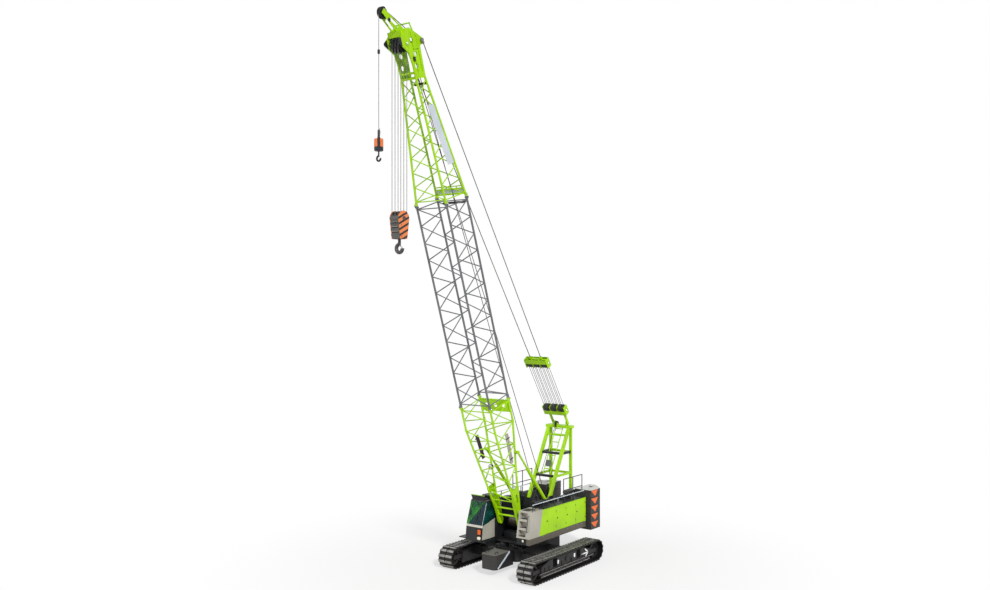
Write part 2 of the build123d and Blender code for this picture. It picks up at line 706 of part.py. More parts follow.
def make_rails():
    """The high rails at the rear of both roofs and the low pipes along their edges."""
    high_y = HOUSE_HALF_WIDTH - RAIL_INSET - 2 * LOW_RAIL_INSET
    high = rail_run(RAIL_REAR, RAIL_REAR + RAIL_LENGTH, RAIL_POSTS, high_y, (RAIL_HEIGHT / 2, RAIL_HEIGHT))
    low_y = HOUSE_HALF_WIDTH - LOW_RAIL_INSET
    low = []
    for front in (NOSE_FRONT_HIGH - RAIL_INSET, RIGHT_HOUSE_FRONT - RAIL_INSET):
        posts = round((front - RAIL_REAR) / LOW_RAIL_PITCH) + 1
        low.append(rail_run(RAIL_REAR, front, posts, low_y, (LOW_RAIL_HEIGHT,)))
    keep("handrails", *both(high), low[0], mirrored(low[1]))


def make_nose():
    """The stepped nose in front of the left house."""
    nose = plate_y([(NOSE_REAR_LOW, PANEL_LOW), (NOSE_FRONT_LOW, PANEL_LOW), (NOSE_FRONT_HIGH, PANEL_HIGH),
                    (NOSE_REAR_HIGH, PANEL_HIGH)], HOUSE_INNER, HOUSE_HALF_WIDTH)
    slope = (NOSE_FRONT_HIGH - NOSE_FRONT_LOW) / (PANEL_HIGH - PANEL_LOW)
    for number in range(STEP_COUNT):
        low = PANEL_LOW + STEP_MARGIN + number * STEP_PITCH
        face = NOSE_FRONT_LOW + slope * (low - PANEL_LOW)
        nose -= block(face - STEP_DEPTH, face + STEP_DEPTH, HOUSE_INNER + STEP_MARGIN,
                      HOUSE_INNER + STEP_MARGIN + STEP_WIDTH, low, low + STEP_HEIGHT)
    keep("left_house_nose", nose)


def make_house():
    """Both machinery houses with their doors, the stepped nose, the engine, rails and walkway."""
    left = door_frame(LEFT_DOOR_COUNT, DOOR_REAR, LEFT_DOOR_PITCH, house_outline(NOSE_REAR_LOW, NOSE_REAR_HIGH))
    left_front = DOOR_REAR + LEFT_DOOR_COUNT * LEFT_DOOR_PITCH
    cheek = plate_y([(left_front, PANEL_LOW), (NOSE_REAR_LOW, PANEL_LOW), (NOSE_REAR_HIGH, PANEL_HIGH),
                     (left_front, PANEL_HIGH)], DOOR_INSIDE, HOUSE_HALF_WIDTH)
    tail = block(HOUSE_REAR, DOOR_REAR, DOOR_INSIDE, HOUSE_HALF_WIDTH, PANEL_LOW, PANEL_HIGH)
    keep("left_house", joined(left, cheek, tail))
    outline = house_outline(RIGHT_HOUSE_FRONT, RIGHT_HOUSE_FRONT)
    right = door_frame(RIGHT_DOOR_COUNT, DOOR_REAR, RIGHT_DOOR_PITCH, outline)
    right_front = DOOR_REAR + RIGHT_DOOR_COUNT * RIGHT_DOOR_PITCH
    right_cheek = block(right_front, RIGHT_HOUSE_FRONT, DOOR_INSIDE, HOUSE_HALF_WIDTH, PANEL_LOW, PANEL_HIGH)
    keep("right_house", mirrored(joined(right, right_cheek, tail)))
    for number in range(LEFT_DOOR_COUNT):
        keep(f"left_door_{number + 1}", door(DOOR_REAR + number * LEFT_DOOR_PITCH, LEFT_DOOR_PITCH))
    for number in range(RIGHT_DOOR_COUNT):
        leaf = door(DOOR_REAR + number * RIGHT_DOOR_PITCH, RIGHT_DOOR_PITCH, LOUVRE_COUNT)
        keep(f"right_door_{number + 1}", mirrored(leaf))
    make_nose()
    engine_rear = DOOR_REAR + ENGINE_INSET
    engine_low = PANEL_LOW + HOUSE_WALL
    keep("engine_block", block(engine_rear, engine_rear + ENGINE_LENGTH, HOUSE_INNER + 2 * HOUSE_WALL,
                               HOUSE_HALF_WIDTH - ENGINE_INSET, engine_low, engine_low + ENGINE_HEIGHT))
    make_rails()
    walk = block(WALK_REAR, CAB_FRONT_HIGH, -WALKWAY_OUTER, -CAB_OUTER - WALK_GAP,
                 DECK_LOW + ARM_PLATE, DECK_LOW + ARM_PLATE + WALK_PLATE)
    arms = [block(x, x + ARM_WIDTH, -WALKWAY_OUTER + ARM_WIDTH, -CAB_OUTER + PLATFORM_INSET,
                  DECK_LOW, DECK_LOW + ARM_PLATE) for x in (CAB_REAR + ARM_WIDTH, CAB_FRONT_HIGH - 2 * ARM_WIDTH)]
    keep("right_walkway", joined(walk, *arms))


def make_counterweight():
    """The base slab, notched for the deck's tail, and a stack of grooved slabs on each side of the gantry."""
    plan = [(WEIGHT_FRONT, WEIGHT_INNER), (WEIGHT_FRONT, WEIGHT_HALF_WIDTH), (WEIGHT_SIDE_REAR, WEIGHT_HALF_WIDTH),
            (WEIGHT_TAIL, WEIGHT_TAIL_HALF_WIDTH), (WEIGHT_TAIL, WEIGHT_INNER)]
    base_high = WEIGHT_LOW + WEIGHT_SLAB
    high = WEIGHT_LOW + WEIGHT_SLABS * WEIGHT_SLAB
    middle = block(WEIGHT_TAIL, TAIL_REAR, -WEIGHT_INNER, WEIGHT_INNER, WEIGHT_LOW, base_high)
    keep("counterweight_base", joined(middle, *both(plate_z(plan, WEIGHT_LOW, base_high))))
    stack = plate_z(plan, base_high, high)
    waist = offset(make_face(Wire.make_polygon([(x, y, 0) for x, y in plan], close=True)), -WEIGHT_GROOVE)
    for number in range(2, WEIGHT_SLABS):
        low = WEIGHT_LOW + number * WEIGHT_SLAB - WEIGHT_GROOVE / 2
        ring = plate_z(plan, low, low + WEIGHT_GROOVE)
        stack -= ring - Pos(0, 0, low) * extrude(waist, WEIGHT_GROOVE)
    floor = high - RECESS_DEPTH
    ends = [RECESS_X - RECESS_LENGTH / 2 + RECESS_RADIUS, RECESS_X + RECESS_LENGTH / 2 - RECESS_RADIUS]
    stack -= block(*ends, RECESS_Y - RECESS_RADIUS, RECESS_Y + RECESS_RADIUS, floor, high + 1)
    for x in ends:
        stack -= rod((x, RECESS_Y, floor), (x, RECESS_Y, high + 1), RECESS_RADIUS)
    keep("counterweight_slabs", *both(stack))


def make_gantry():
    """The gantry: sloping front legs, upright rear legs, cross bars, ladder and the head."""
    inner = GANTRY_HALF_WIDTH - GANTRY_LEG / 2
    outer = WEB_INNER
    rear = block(LEG_REAR, LEG_FRONT, inner, outer, WEB_HIGH + GANTRY_BAR / 2, GANTRY_HEAD_LOW)
    half = GANTRY_LEG * 2 / 3
    top_x = LEG_FRONT + GANTRY_LEG / 2 + half
    foot_z = GANTRY_FOOT_Z - FOOT_SEAT
    front = plate_y([(GANTRY_FOOT_X - half, foot_z), (GANTRY_FOOT_X + half, foot_z), (top_x + half, GANTRY_HEAD_LOW),
                     (top_x - half, GANTRY_HEAD_LOW)], inner, outer)
    head_high = GANTRY_HEAD_LOW + GANTRY_HEAD_PLATE
    head = block(LEG_REAR - GANTRY_EAR, top_x + half, -outer - GANTRY_EAR, outer + GANTRY_EAR,
                 GANTRY_HEAD_LOW, head_high)
    ears = []
    for y in (-GANTRY_EAR_Y, GANTRY_EAR_Y):
        ear = block(GANTRY_X - EAR_RADIUS, GANTRY_X + EAR_RADIUS, y - GANTRY_EAR / 2, y + GANTRY_EAR / 2, head_high,
                    GANTRY_PEAK_Z + POST_HALF_TOP)
        ears.append(ear - pin_y(GANTRY_X, GANTRY_PEAK_Z, PEAK_PIN + PIN_PLAY, y - GANTRY_EAR, y + GANTRY_EAR))
    slope = (top_x - GANTRY_FOOT_X) / (GANTRY_HEAD_LOW - foot_z)
    bar = GANTRY_BAR / 2
    bars = []
    for share in GANTRY_BARS:
        z = foot_z + share * (GANTRY_HEAD_LOW - foot_z)
        x = GANTRY_FOOT_X + slope * (z - foot_z)
        bars.append(block(x - bar, x + bar, -inner, inner, z - bar, z + bar))
        bars.append(block(LEG_REAR + bar / 2, LEG_FRONT - bar / 2, -inner, inner, z - bar, z + bar))
        bars += both(block(LEG_FRONT, x, inner + bar / 2, outer - bar / 2, z - bar, z + bar))
    low = foot_z + GANTRY_BARS[0] * (GANTRY_HEAD_LOW - foot_z)
    low_x = GANTRY_FOOT_X + slope * (low - foot_z)
    sides = [LADDER_Y - LADDER_WIDTH / 2, LADDER_Y + LADDER_WIDTH / 2]
    bars += [strut((low_x, y, low), (top_x, y, GANTRY_HEAD_LOW), LADDER_RADIUS) for y in sides]
    for number in range(1, int((GANTRY_HEAD_LOW - low) / LADDER_RUNG) + 1):
        z = low + number * LADDER_RUNG
        x = GANTRY_FOOT_X + slope * (z - foot_z)
        bars.append(strut((x, sides[0], z), (x, sides[1], z), LADDER_RADIUS))
    keep("gantry_frame", joined(*both(rear), *both(front), head, *ears, *bars))


def make_winches():
    """The three winch drums between the webs."""
    barrel = WEB_INNER - DRUM_INSET
    drums = []
    for x in (MAIN_DRUM_X, AUX_DRUM_X, LUFF_DRUM_X):
        shapes = [pin_y(x, DRUM_Z, DRUM_RADIUS, -barrel, barrel)]
        shapes.append(pin_y(x, DRUM_Z, DRUM_SHAFT, -WEB_INNER, WEB_INNER))
        shapes += both(pin_y(x, DRUM_Z, DRUM_FLANGE, barrel - DRUM_PLATE / 2, barrel + DRUM_PLATE / 2))
        drums.append(joined(*shapes))
    keep("winch_drums", *drums)


# Cab, on the right
def cab_front_x(z):
    """Where the cab's front face is at a height."""
    if z < CAB_SILL_Z:
        share = (z - CAB_LOW) / (CAB_SILL_Z - CAB_LOW)
        return CAB_FRONT_LOW + share * (CAB_FRONT_SILL - CAB_FRONT_LOW)
    share = (z - CAB_SILL_Z) / (CAB_HIGH - CAB_SILL_Z)
    return CAB_FRONT_SILL + share * (CAB_FRONT_HIGH - CAB_FRONT_SILL)


def cab_band(low, high, back, front_inset):
    """The side view of a part of the cab between two heights, from a back edge to the front face."""
    marks = [low] + ([CAB_SILL_Z] if low < CAB_SILL_Z < high else []) + [high]
    return [(back, low)] + [(cab_front_x(z) - front_inset, z) for z in marks] + [(back, high)]


def side_window(back, low, high, inset):
    """The side view of the inner window: its lower edge rises to the back."""
    front_low, front_high = cab_front_x(low) - inset, cab_front_x(high) - inset
    return [(back, low + CAB_WINDOW_RISE), (front_low, low), (front_high, high), (back, high)]


def make_cab_shell(floor_high, roof_low):
    """The cab's floor with the door's rail, roof with its visor, front with its lamps and three walls."""
    inner, outer = -CAB_INNER, -CAB_OUTER
    back = CAB_REAR + CAB_WALL
    door_front = CAB_DOOR_REAR + CAB_DOOR_WIDTH
    rail = block(CAB_DOOR_REAR - CAB_DOOR_TRAVEL, door_front, outer - CAB_TRACK, outer, CAB_LOW, floor_high)
    keep("cab_floor", joined(plate_y(cab_band(CAB_LOW, floor_high, CAB_REAR, 0), outer, inner), rail))
    visor_x, visor_z = CAB_FRONT_HIGH + VISOR_REACH, CAB_HIGH + VISOR_RISE
    visor = plate_y([(CAB_FRONT_HIGH - VISOR_PLATE, CAB_HIGH), (CAB_FRONT_HIGH, CAB_HIGH), (visor_x, visor_z),
                     (visor_x - VISOR_PLATE, visor_z)], outer + VISOR_MARGIN, inner - VISOR_MARGIN)
    keep("cab_roof", joined(plate_y(cab_band(roof_low, CAB_HIGH, CAB_REAR, 0), outer, inner), visor))
    rear = block(CAB_REAR, back, outer, inner, floor_high, roof_low)
    keep("cab_rear", rear - block(CAB_REAR - 1, back + 1, outer + REAR_MARGIN, inner - REAR_MARGIN,
                                  CAB_SILL_Z + REAR_MARGIN, roof_low - REAR_MARGIN))
    side = cab_band(floor_high, roof_low, back, CAB_WALL)
    window = side_window(back + SIDE_MARGIN, CAB_SILL_Z + SILL_MARGIN, roof_low - SIDE_MARGIN,
                         CAB_WALL + SIDE_MARGIN)
    keep("cab_inner_side", plate_y(side, inner - CAB_WALL, inner) - plate_y(window, inner - CAB_WALL - 1, inner + 1))
    way_in = block(CAB_DOOR_REAR, door_front, outer - 1, outer + CAB_WALL + 1, floor_high - 1, roof_low + 1)
    keep("cab_outer_side", plate_y(side, outer, outer + CAB_WALL) - way_in)
    front = plate_y(cab_band(floor_high, roof_low, 0, 0), outer, inner)
    front -= plate_y(cab_band(floor_high, roof_low, -1, CAB_WALL), outer, inner)
    front -= block(CAB_REAR, CAB_FRONT_LOW, outer + FRONT_MARGIN, inner - FRONT_MARGIN, CAB_SILL_Z + FRONT_MARGIN,
                   roof_low - FRONT_MARGIN)
    lamp_y = inner - LAMP_INSET
    lamps = []
    for z in (LAMP_LOW, LAMP_HIGH):
        face = cab_front_x(z)
        lamps.append(rod((face - CAB_WALL / 2, lamp_y, z), (face + LAMP_REACH, lamp_y, z), LAMP_RADIUS))
    keep("cab_front", joined(front, *lamps))
    return window


def make_cab():
    """The hollow cab: shell, glass, seat and sliding door."""
    floor_high = CAB_LOW + CAB_WALL
    roof_low = CAB_HIGH - CAB_ROOF
    window = make_cab_shell(floor_high, roof_low)
    inner, outer = -CAB_INNER, -CAB_OUTER
    half = CAB_WALL / 2
    low, high = CAB_SILL_Z + FRONT_MARGIN, roof_low - FRONT_MARGIN
    pane_front = plate_y(cab_band(low, high, 0, half), outer + FRONT_MARGIN, inner - FRONT_MARGIN)
    pane_front -= plate_y(cab_band(low - 1, high + 1, -1, half + GLASS), outer, inner)
    pane_inner = plate_y(window, inner - half - GLASS, inner - half)
    pane_rear = block(CAB_REAR + half, CAB_REAR + half + GLASS, outer + REAR_MARGIN, inner - REAR_MARGIN,
                      CAB_SILL_Z + REAR_MARGIN, roof_low - REAR_MARGIN)
    keep("cab_glass", pane_front, pane_inner, pane_rear)
    middle = (inner + outer) / 2
    seat_x = CAB_REAR + CAB_WALL + SEAT_BACK
    cushion = floor_high + SEAT_HEIGHT
    back_high = cushion + SEAT_RISE
    seat = [(seat_x, floor_high), (seat_x + SEAT_DEPTH, floor_high), (seat_x + SEAT_DEPTH, cushion),
            (seat_x + 2 * SEAT_BACK, cushion), (seat_x + SEAT_BACK, back_high), (seat_x, back_high)]
    keep("cab_seat", plate_y(seat, middle - SEAT_WIDTH / 2, middle + SEAT_WIDTH / 2))
    door_front = CAB_DOOR_REAR + CAB_DOOR_WIDTH
    face = outer - CAB_DOOR_GAP
    leaf = block(CAB_DOOR_REAR - CAB_DOOR_LAP, door_front + CAB_DOOR_LAP, face - CAB_WALL, face,
                 floor_high + CAB_DOOR_GAP, roof_low - CAB_DOOR_GAP)
    sill, head = CAB_SILL_Z + SILL_MARGIN, roof_low - SIDE_MARGIN
    rear, front = CAB_DOOR_REAR + FRONT_MARGIN, door_front - FRONT_MARGIN
    keep("cab_door", leaf - block(rear, front, face - CAB_WALL - 1, face + 1, sill, head))
    keep("cab_door_glass", block(rear, front, face - half - GLASS, face - half, sill, head))


# Boom, in its own frame: x along the boom from the foot pin, z towards its rear face
BOOM = Pos(FOOT_X, 0, FOOT_Z) * Rot(0, -BOOM_ANGLE, 0)
INSERT_END = BASE_LENGTH + INSERT_LENGTH
TOP_END = INSERT_END + TOP_LENGTH
SHEAVE_S = TOP_END + SHEAVE_RISE
EAR_S = TOP_END + EAR_RISE
TIP_S = TOP_END + TIP_RISE
TIP_FOOT_S = TOP_END + TIP_FOOT_RISE
HEAD_TOP = TOP_END + HEAD_HEIGHT
HEAD_INNER = HEAD_HALF_WIDTH - HEAD_PLATE
HEAD_MIDDLE = HEAD_HALF_WIDTH - HEAD_PLATE / 2
TIP_INNER = TIP_HALF_WIDTH - TIP_PLATE


def along_boom(s, n):
    """The (x, z) in the machine frame of a place on the boom's middle plane."""
    angle = math.radians(BOOM_ANGLE)
    return (FOOT_X + s * math.cos(angle) - n * math.sin(angle), FOOT_Z + s * math.sin(angle) + n * math.cos(angle))


def base_chord(s, side, face):
    """A chord's centre in the base section: side is left or right, face front or rear."""
    share = min(s / BASE_TAPER, 1.0)
    return (s, side * (FOOT_HALF_SPAN + share * (BOOM_WIDTH / 2 - FOOT_HALF_SPAN)), face * share * BOOM_DEPTH / 2)


def insert_chord(s, side, face):
    """A chord's centre in the straight insert."""
    return (s, side * BOOM_WIDTH / 2, face * BOOM_DEPTH / 2)


def top_chord(s, side, face):
    """A chord's centre in the tapered top section."""
    share = (s - INSERT_END) / TOP_LENGTH
    end = HEAD_REAR if face > 0 else HEAD_FRONT
    start = face * BOOM_DEPTH / 2
    return (s, side * (BOOM_WIDTH / 2 + share * (HEAD_MIDDLE - BOOM_WIDTH / 2)), start + share * (end - start))


def stations(upper, lower, panels):
    """Evenly spaced places along the boom, from the upper one down."""
    return [upper + (lower - upper) * number / panels for number in range(panels + 1)]


def lacing(chord, places, starts):
    """Zigzag braces on the four faces of a section, between chords, from the upper place down.

    starts tells where each zigzag begins: on which side, for the front and rear faces, and at which face,
    for the right and left ones.
    """
    front, rear, right, left = starts
    braces = []
    for number in range(len(places) - 1):
        here, there = places[number], places[number + 1]
        turn = 1 if number % 2 == 0 else -1
        for face, side in ((-1, front * turn), (1, rear * turn)):
            braces.append(strut(chord(here, side, face), chord(there, -side, face), BRACE_RADIUS))
        for side, face in ((-1, right * turn), (1, left * turn)):
            braces.append(strut(chord(here, side, face), chord(there, side, -face), BRACE_RADIUS))
    return braces


def end_frame(chord, s):
    """A square of cross tubes that ties the four chords at one station."""
    bars = []
    for fixed in (-1, 1):
        bars.append(strut(chord(s, -1, fixed), chord(s, 1, fixed), BRACE_RADIUS))
        bars.append(strut(chord(s, fixed, -1), chord(s, fixed, 1), BRACE_RADIUS))
    return bars


CORNERS = [(side, face) for side in (-1, 1) for face in (-1, 1)]
TURNED_LACING = (1, -1, -1, 1)
BASE_LACING = (-1, 1, 1, 1)


def collars(chord, s, way):
    """Thicker ends on the four chords where two sections are pinned together."""
    shapes = []
    for corner in CORNERS:
        x, y, z = chord(s, *corner)
        shapes.append(tube((x, y, z), (x + way * COLLAR_LENGTH, y, z), COLLAR_RADIUS))
    return shapes


def joint_pins(chord, s):
    """The pins across the four collars at a section's upper end."""
    pins = []
    for corner in CORNERS:
        x, y, z = chord(s, *corner)
        pins.append(pin_y(x - COLLAR_LENGTH / 2, z, JOINT_PIN, y - JOINT_PIN_LENGTH / 2, y + JOINT_PIN_LENGTH / 2))
    return pins


def boom_foot(side):
    """One foot: a tapering web with a round hole, the eye and its pin."""
    middle = side * FOOT_HALF_SPAN
    low, high = middle - FOOT_PLATE / 2, middle + FOOT_PLATE / 2
    reach = base_chord(FOOT_WEB_LENGTH, side, 1)[2]
    web = plate_y([(0, -FOOT_EYE), (FOOT_WEB_LENGTH, -reach), (FOOT_WEB_LENGTH, reach), (0, FOOT_EYE)], low, high)
    web -= pin_y(FOOT_HOLE_S, 0, FOOT_HOLE, low - 1, high + 1)
    pin = pin_y(0, 0, FOOT_PIN, min(low, side * WEB_OUTER), max(high, side * WEB_OUTER))
    return [web, pin_y(0, 0, FOOT_EYE, low, high), pin]


def boom_base():
    """The base section: feet and ties, tapering chords, lacing, holed rear plate and lugs for the backstops."""
    shapes = []
    for corner in CORNERS:
        knee = base_chord(BASE_TAPER, *corner)
        shapes.append(tube(base_chord(CHORD_START, *corner), knee, CHORD_RADIUS))
        shapes.append(tube(knee, base_chord(BASE_LENGTH, *corner), CHORD_RADIUS))
        s, y, n = knee
        shapes.append(tube((s - KNEE_LENGTH / 2, y, n), (s + KNEE_LENGTH / 2, y, n), KNEE_RADIUS))
    for side in (-1, 1):
        shapes += boom_foot(side)
        lug = base_chord(BACKSTOP_S, side, 1)
        edge = side * (BACKSTOP_Y - BACKSTOP_ROD - STAY_GAP)
        shapes.append(pin_y(lug[0], lug[2], BACKSTOP_LUG, min(lug[1], edge), max(lug[1], edge)))
    for number in (1, 2):
        shapes.append(pin_y(number * FOOT_TIE_PITCH, -FOOT_EYE / 2, FOOT_TIE, -FOOT_HALF_SPAN, FOOT_HALF_SPAN))
    upper = BASE_LENGTH - JOINT_INSET
    places = stations(upper, LACING_START, BASE_PANELS)
    shapes += lacing(base_chord, places, BASE_LACING)
    shapes += end_frame(base_chord, places[0]) + end_frame(base_chord, places[-1])
    rear = BOOM_DEPTH / 2
    plate = block(upper - REAR_PLATE_LENGTH, upper, -BOOM_WIDTH / 2, BOOM_WIDTH / 2,
                  rear - REAR_PLATE / 2, rear + REAR_PLATE / 2)
    middle = upper - REAR_PLATE_LENGTH / 2
    for number in (-1, 0, 1):
        y = number * REAR_PLATE_HOLE_PITCH
        plate -= rod((middle, y, rear - REAR_PLATE), (middle, y, rear + REAR_PLATE), REAR_PLATE_HOLE)
    shapes.append(plate)
    return joined(*shapes, *collars(base_chord, BASE_LENGTH, -1), *joint_pins(base_chord, BASE_LENGTH))


def boom_insert():
    """The straight section between the base and the top."""
    shapes = [tube(insert_chord(BASE_LENGTH, *corner), insert_chord(INSERT_END, *corner), CHORD_RADIUS)
              for corner in CORNERS]
    places = stations(INSERT_END - JOINT_INSET, BASE_LENGTH + JOINT_INSET, INSERT_PANELS)
    shapes += lacing(insert_chord, places, TURNED_LACING)
    shapes += end_frame(insert_chord, places[0]) + end_frame(insert_chord, places[-1])
    shapes += collars(insert_chord, BASE_LENGTH, 1) + collars(insert_chord, INSERT_END, -1)
    return joined(*shapes, *joint_pins(insert_chord, INSERT_END))


def boom_top():
    """The tapered top section: a double cross frame on the rear face below, a square frame for the head above."""
    cut = block(INSERT_END - COLLAR_LENGTH, INSERT_END, -BOOM_WIDTH, BOOM_WIDTH, -BOOM_DEPTH, BOOM_DEPTH)
    shapes = []
    for corner in CORNERS:
        high = top_chord(TOP_END - CHORD_RADIUS, *corner)
        shapes.append(tube(top_chord(INSERT_END, *corner), high, CHORD_RADIUS) - cut)
    places = stations(TOP_END - JOINT_INSET, INSERT_END + JOINT_INSET, TOP_PANELS)
    shapes += lacing(top_chord, places, TURNED_LACING) + end_frame(top_chord, places[-1])
    low, high = places[-1], places[-1] + CROSS_FRAME
    left = top_chord(high, 1, 1)
    shapes.append(strut(top_chord(high, -1, 1), left, BRACE_RADIUS))
    for y in (-BOOM_WIDTH / 4, 0, BOOM_WIDTH / 4):
        shapes.append(strut((low, y, top_chord(low, 1, 1)[2]), (high, y, left[2]), BRACE_RADIUS))
    lip = HEAD_PLATE + CHORD_RADIUS
    cap = block(TOP_END - HEAD_PLATE - CHORD_RADIUS, TOP_END, -HEAD_HALF_WIDTH, HEAD_HALF_WIDTH,
                HEAD_FRONT - CHORD_RADIUS, HEAD_REAR + CHORD_RADIUS)
    cap -= block(TOP_END - 2 * lip, TOP_END + 1, -HEAD_HALF_WIDTH + lip, HEAD_HALF_WIDTH - lip,
                 HEAD_FRONT + CHORD_RADIUS, HEAD_REAR - CHORD_RADIUS)
    return joined(*shapes, cap, *collars(top_chord, INSERT_END, 1))


def head_plate():
    """The left side plate of the head, with its holes, the tubes along it and the bosses of ear and sheaves."""
    low_front, low_rear = HEAD_FRONT - CHORD_RADIUS, HEAD_REAR + CHORD_RADIUS
    nose = SHEAVE_N - HEAD_NOSE
    reach = EAR_RADIUS + EAR_EDGE
    side = [(TOP_END, low_front), (TOP_END, low_rear), (EAR_S - 2 * reach, EAR_N - reach),
            (EAR_S - reach, EAR_N + reach), (EAR_S + reach, EAR_N + reach),
            (HEAD_TOP - HEAD_CROWN_DROP, 0), (HEAD_TOP, HEAD_CROWN), (HEAD_TOP, 2 * HEAD_CROWN),
            (SHEAVE_S + HEAD_BROW, (nose + 2 * HEAD_CROWN) / 2), (SHEAVE_S + HEAD_BROW / 2, nose),
            (SHEAVE_S + HEAD_BROW / 4, nose), (SHEAVE_S - HEAD_BROW, SHEAVE_N), (TOP_END + HEAD_NOSE, low_front)]
    plate = plate_y(side, HEAD_INNER, HEAD_HALF_WIDTH)
    for rise, n in HEAD_HOLES:
        plate -= pin_y(TOP_END + rise, n, HEAD_HOLE, HEAD_INNER - 1, HEAD_HALF_WIDTH + 1)
    start = TOP_END + HEAD_PLATE
    rear_end = (TOP_END + HEAD_TUBE, HEAD_MIDDLE, HEAD_REAR / 2)
    rear_tube = tube((start, HEAD_MIDDLE, HEAD_REAR), rear_end, CHORD_RADIUS)
    front_end = (SHEAVE_S - HEAD_BROW, HEAD_MIDDLE, HEAD_FRONT)
    front_tube = tube((start, HEAD_MIDDLE, HEAD_FRONT), front_end, CHORD_RADIUS)
    ear = pin_y(EAR_S, EAR_N, EAR_RADIUS, HEAD_HALF_WIDTH, HEAD_HALF_WIDTH + EAR_BOSS)
    boss = pin_y(SHEAVE_S, SHEAVE_N, EAR_RADIUS, HEAD_HALF_WIDTH, HEAD_HALF_WIDTH + EAR_BOSS)
    leg_low = HEAD_TOP - HEAD_CROWN_DROP - HEAD_PLATE
    leg = tube((leg_low, HEAD_MIDDLE, 0), (HEAD_TOP + BOW_RISE, HEAD_MIDDLE, HEAD_CROWN / 2), BOW_RADIUS)
    return joined(plate, rear_tube, front_tube, ear, boss, leg)


def boom_head():
    """The head: two side plates, ties between them, the box that carries the tip and a bow over the top."""
    box = block(TIP_FOOT_S - TIP_BOX, TIP_FOOT_S, -HEAD_INNER, HEAD_INNER, TIP_FOOT_LOW, TIP_FOOT_HIGH)
    tie_s = TOP_END + JOINT_INSET
    ties = [pin_y(s, n, HEAD_TIE, -HEAD_INNER, HEAD_INNER)
            for s, n in ((EAR_S, EAR_N), (tie_s, HEAD_REAR), (tie_s, HEAD_FRONT))]
    bow_s, bow_n, bow_y = HEAD_TOP + BOW_RISE, HEAD_CROWN / 2, HEAD_MIDDLE + BOW_RADIUS
    bow = tube((bow_s, -bow_y, bow_n), (bow_s, bow_y, bow_n), BOW_RADIUS)
    return joined(*both(head_plate()), box, *ties, bow)


def boom_tip():
    """The tip in front of the head: two tapering plates with a window, tied to each other, for the tip sheave."""
    foot_n = (TIP_FOOT_LOW + TIP_FOOT_HIGH) / 2
    run_s, run_n = TIP_S - TIP_FOOT_S, TIP_N - foot_n
    length = math.hypot(run_s, run_n)

    def place(share, out):
        """A place by its share of the way to the sheave and its distance from that line."""
        return (TIP_FOOT_S + share * run_s - out * run_n / length, foot_n + share * run_n + out * run_s / length)

    def half_width(share):
        """Half of the window's width, which narrows to the sheave."""
        foot = (TIP_FOOT_HIGH - TIP_FOOT_LOW) / 2 * run_s / length
        return foot + share * (TIP_NECK - foot) - TIP_RIM

    end = 1 + TIP_NECK / length
    side = [(TIP_FOOT_S, TIP_FOOT_LOW), (TIP_FOOT_S, TIP_FOOT_HIGH), place(1, TIP_NECK), place(end, TIP_NECK),
            place(end, -TIP_NECK), place(1, -TIP_NECK)]
    near, far = TIP_WINDOW
    window = [place(near, half_width(near)), place(far, half_width(far)), place(far, -half_width(far)),
              place(near, -half_width(near))]
    plate = plate_y(side, TIP_INNER, TIP_HALF_WIDTH) - plate_y(window, TIP_INNER - 1, TIP_HALF_WIDTH + 1)
    tie_s, tie_n = place(near / 2, 0)
    return joined(*both(plate), pin_y(tie_s, tie_n, TIP_PLATE, -TIP_INNER, TIP_INNER))


def make_boom():
    """The three boom sections, the head, its sheaves and the tip."""
    keep("boom_base", BOOM * boom_base())
    keep("boom_insert", BOOM * boom_insert())
    keep("boom_top", BOOM * boom_top())
    keep("boom_head", BOOM * boom_head())
    keep("tip_extension", BOOM * boom_tip())
    wheel = sheave(ROPE_LINE, SHEAVE_WIDTH, ROPE_LINE + SHEAVE_RIM)
    wheels = [Pos(SHEAVE_S, y, SHEAVE_N) * wheel for y in (-SHEAVE_PITCH, 0, SHEAVE_PITCH)]
    keep("head_sheaves", BOOM * joined(pin_y(SHEAVE_S, SHEAVE_N, SHEAVE_SHAFT, -HEAD_INNER, HEAD_INNER), *wheels))
    tip_wheel = Pos(TIP_S, 0, TIP_N) * sheave(TIP_ROPE_LINE, SHEAVE_WIDTH, TIP_ROPE_LINE + SHEAVE_RIM)
    keep("tip_sheave", BOOM * joined(pin_y(TIP_S, TIP_N, SHEAVE_SHAFT, -TIP_INNER, TIP_INNER), tip_wheel))


# Stays, in the frame of the line from the gantry's peak to the boom's ears
EAR_X, EAR_Z = along_boom(EAR_S, EAR_N)
STAY_LENGTH = math.hypot(EAR_X - GANTRY_X, EAR_Z - GANTRY_PEAK_Z)
STAY_ANGLE = math.degrees(math.atan2(EAR_Z - GANTRY_PEAK_Z, EAR_X - GANTRY_X))
STAY = Pos(GANTRY_X, 0, GANTRY_PEAK_Z) * Rot(0, -STAY_ANGLE, 0)
LINK_INNER_Y = GANTRY_EAR_Y + GANTRY_EAR / 2 + LINK_SIDE_GAP


def yoke_plates():
    """The middles of a yoke's four plates, across the machine."""
    outer = (YOKE_WIDTH - YOKE_PLATE_STAYS) / 2
    return [-outer, -outer / 3, outer / 3, outer]


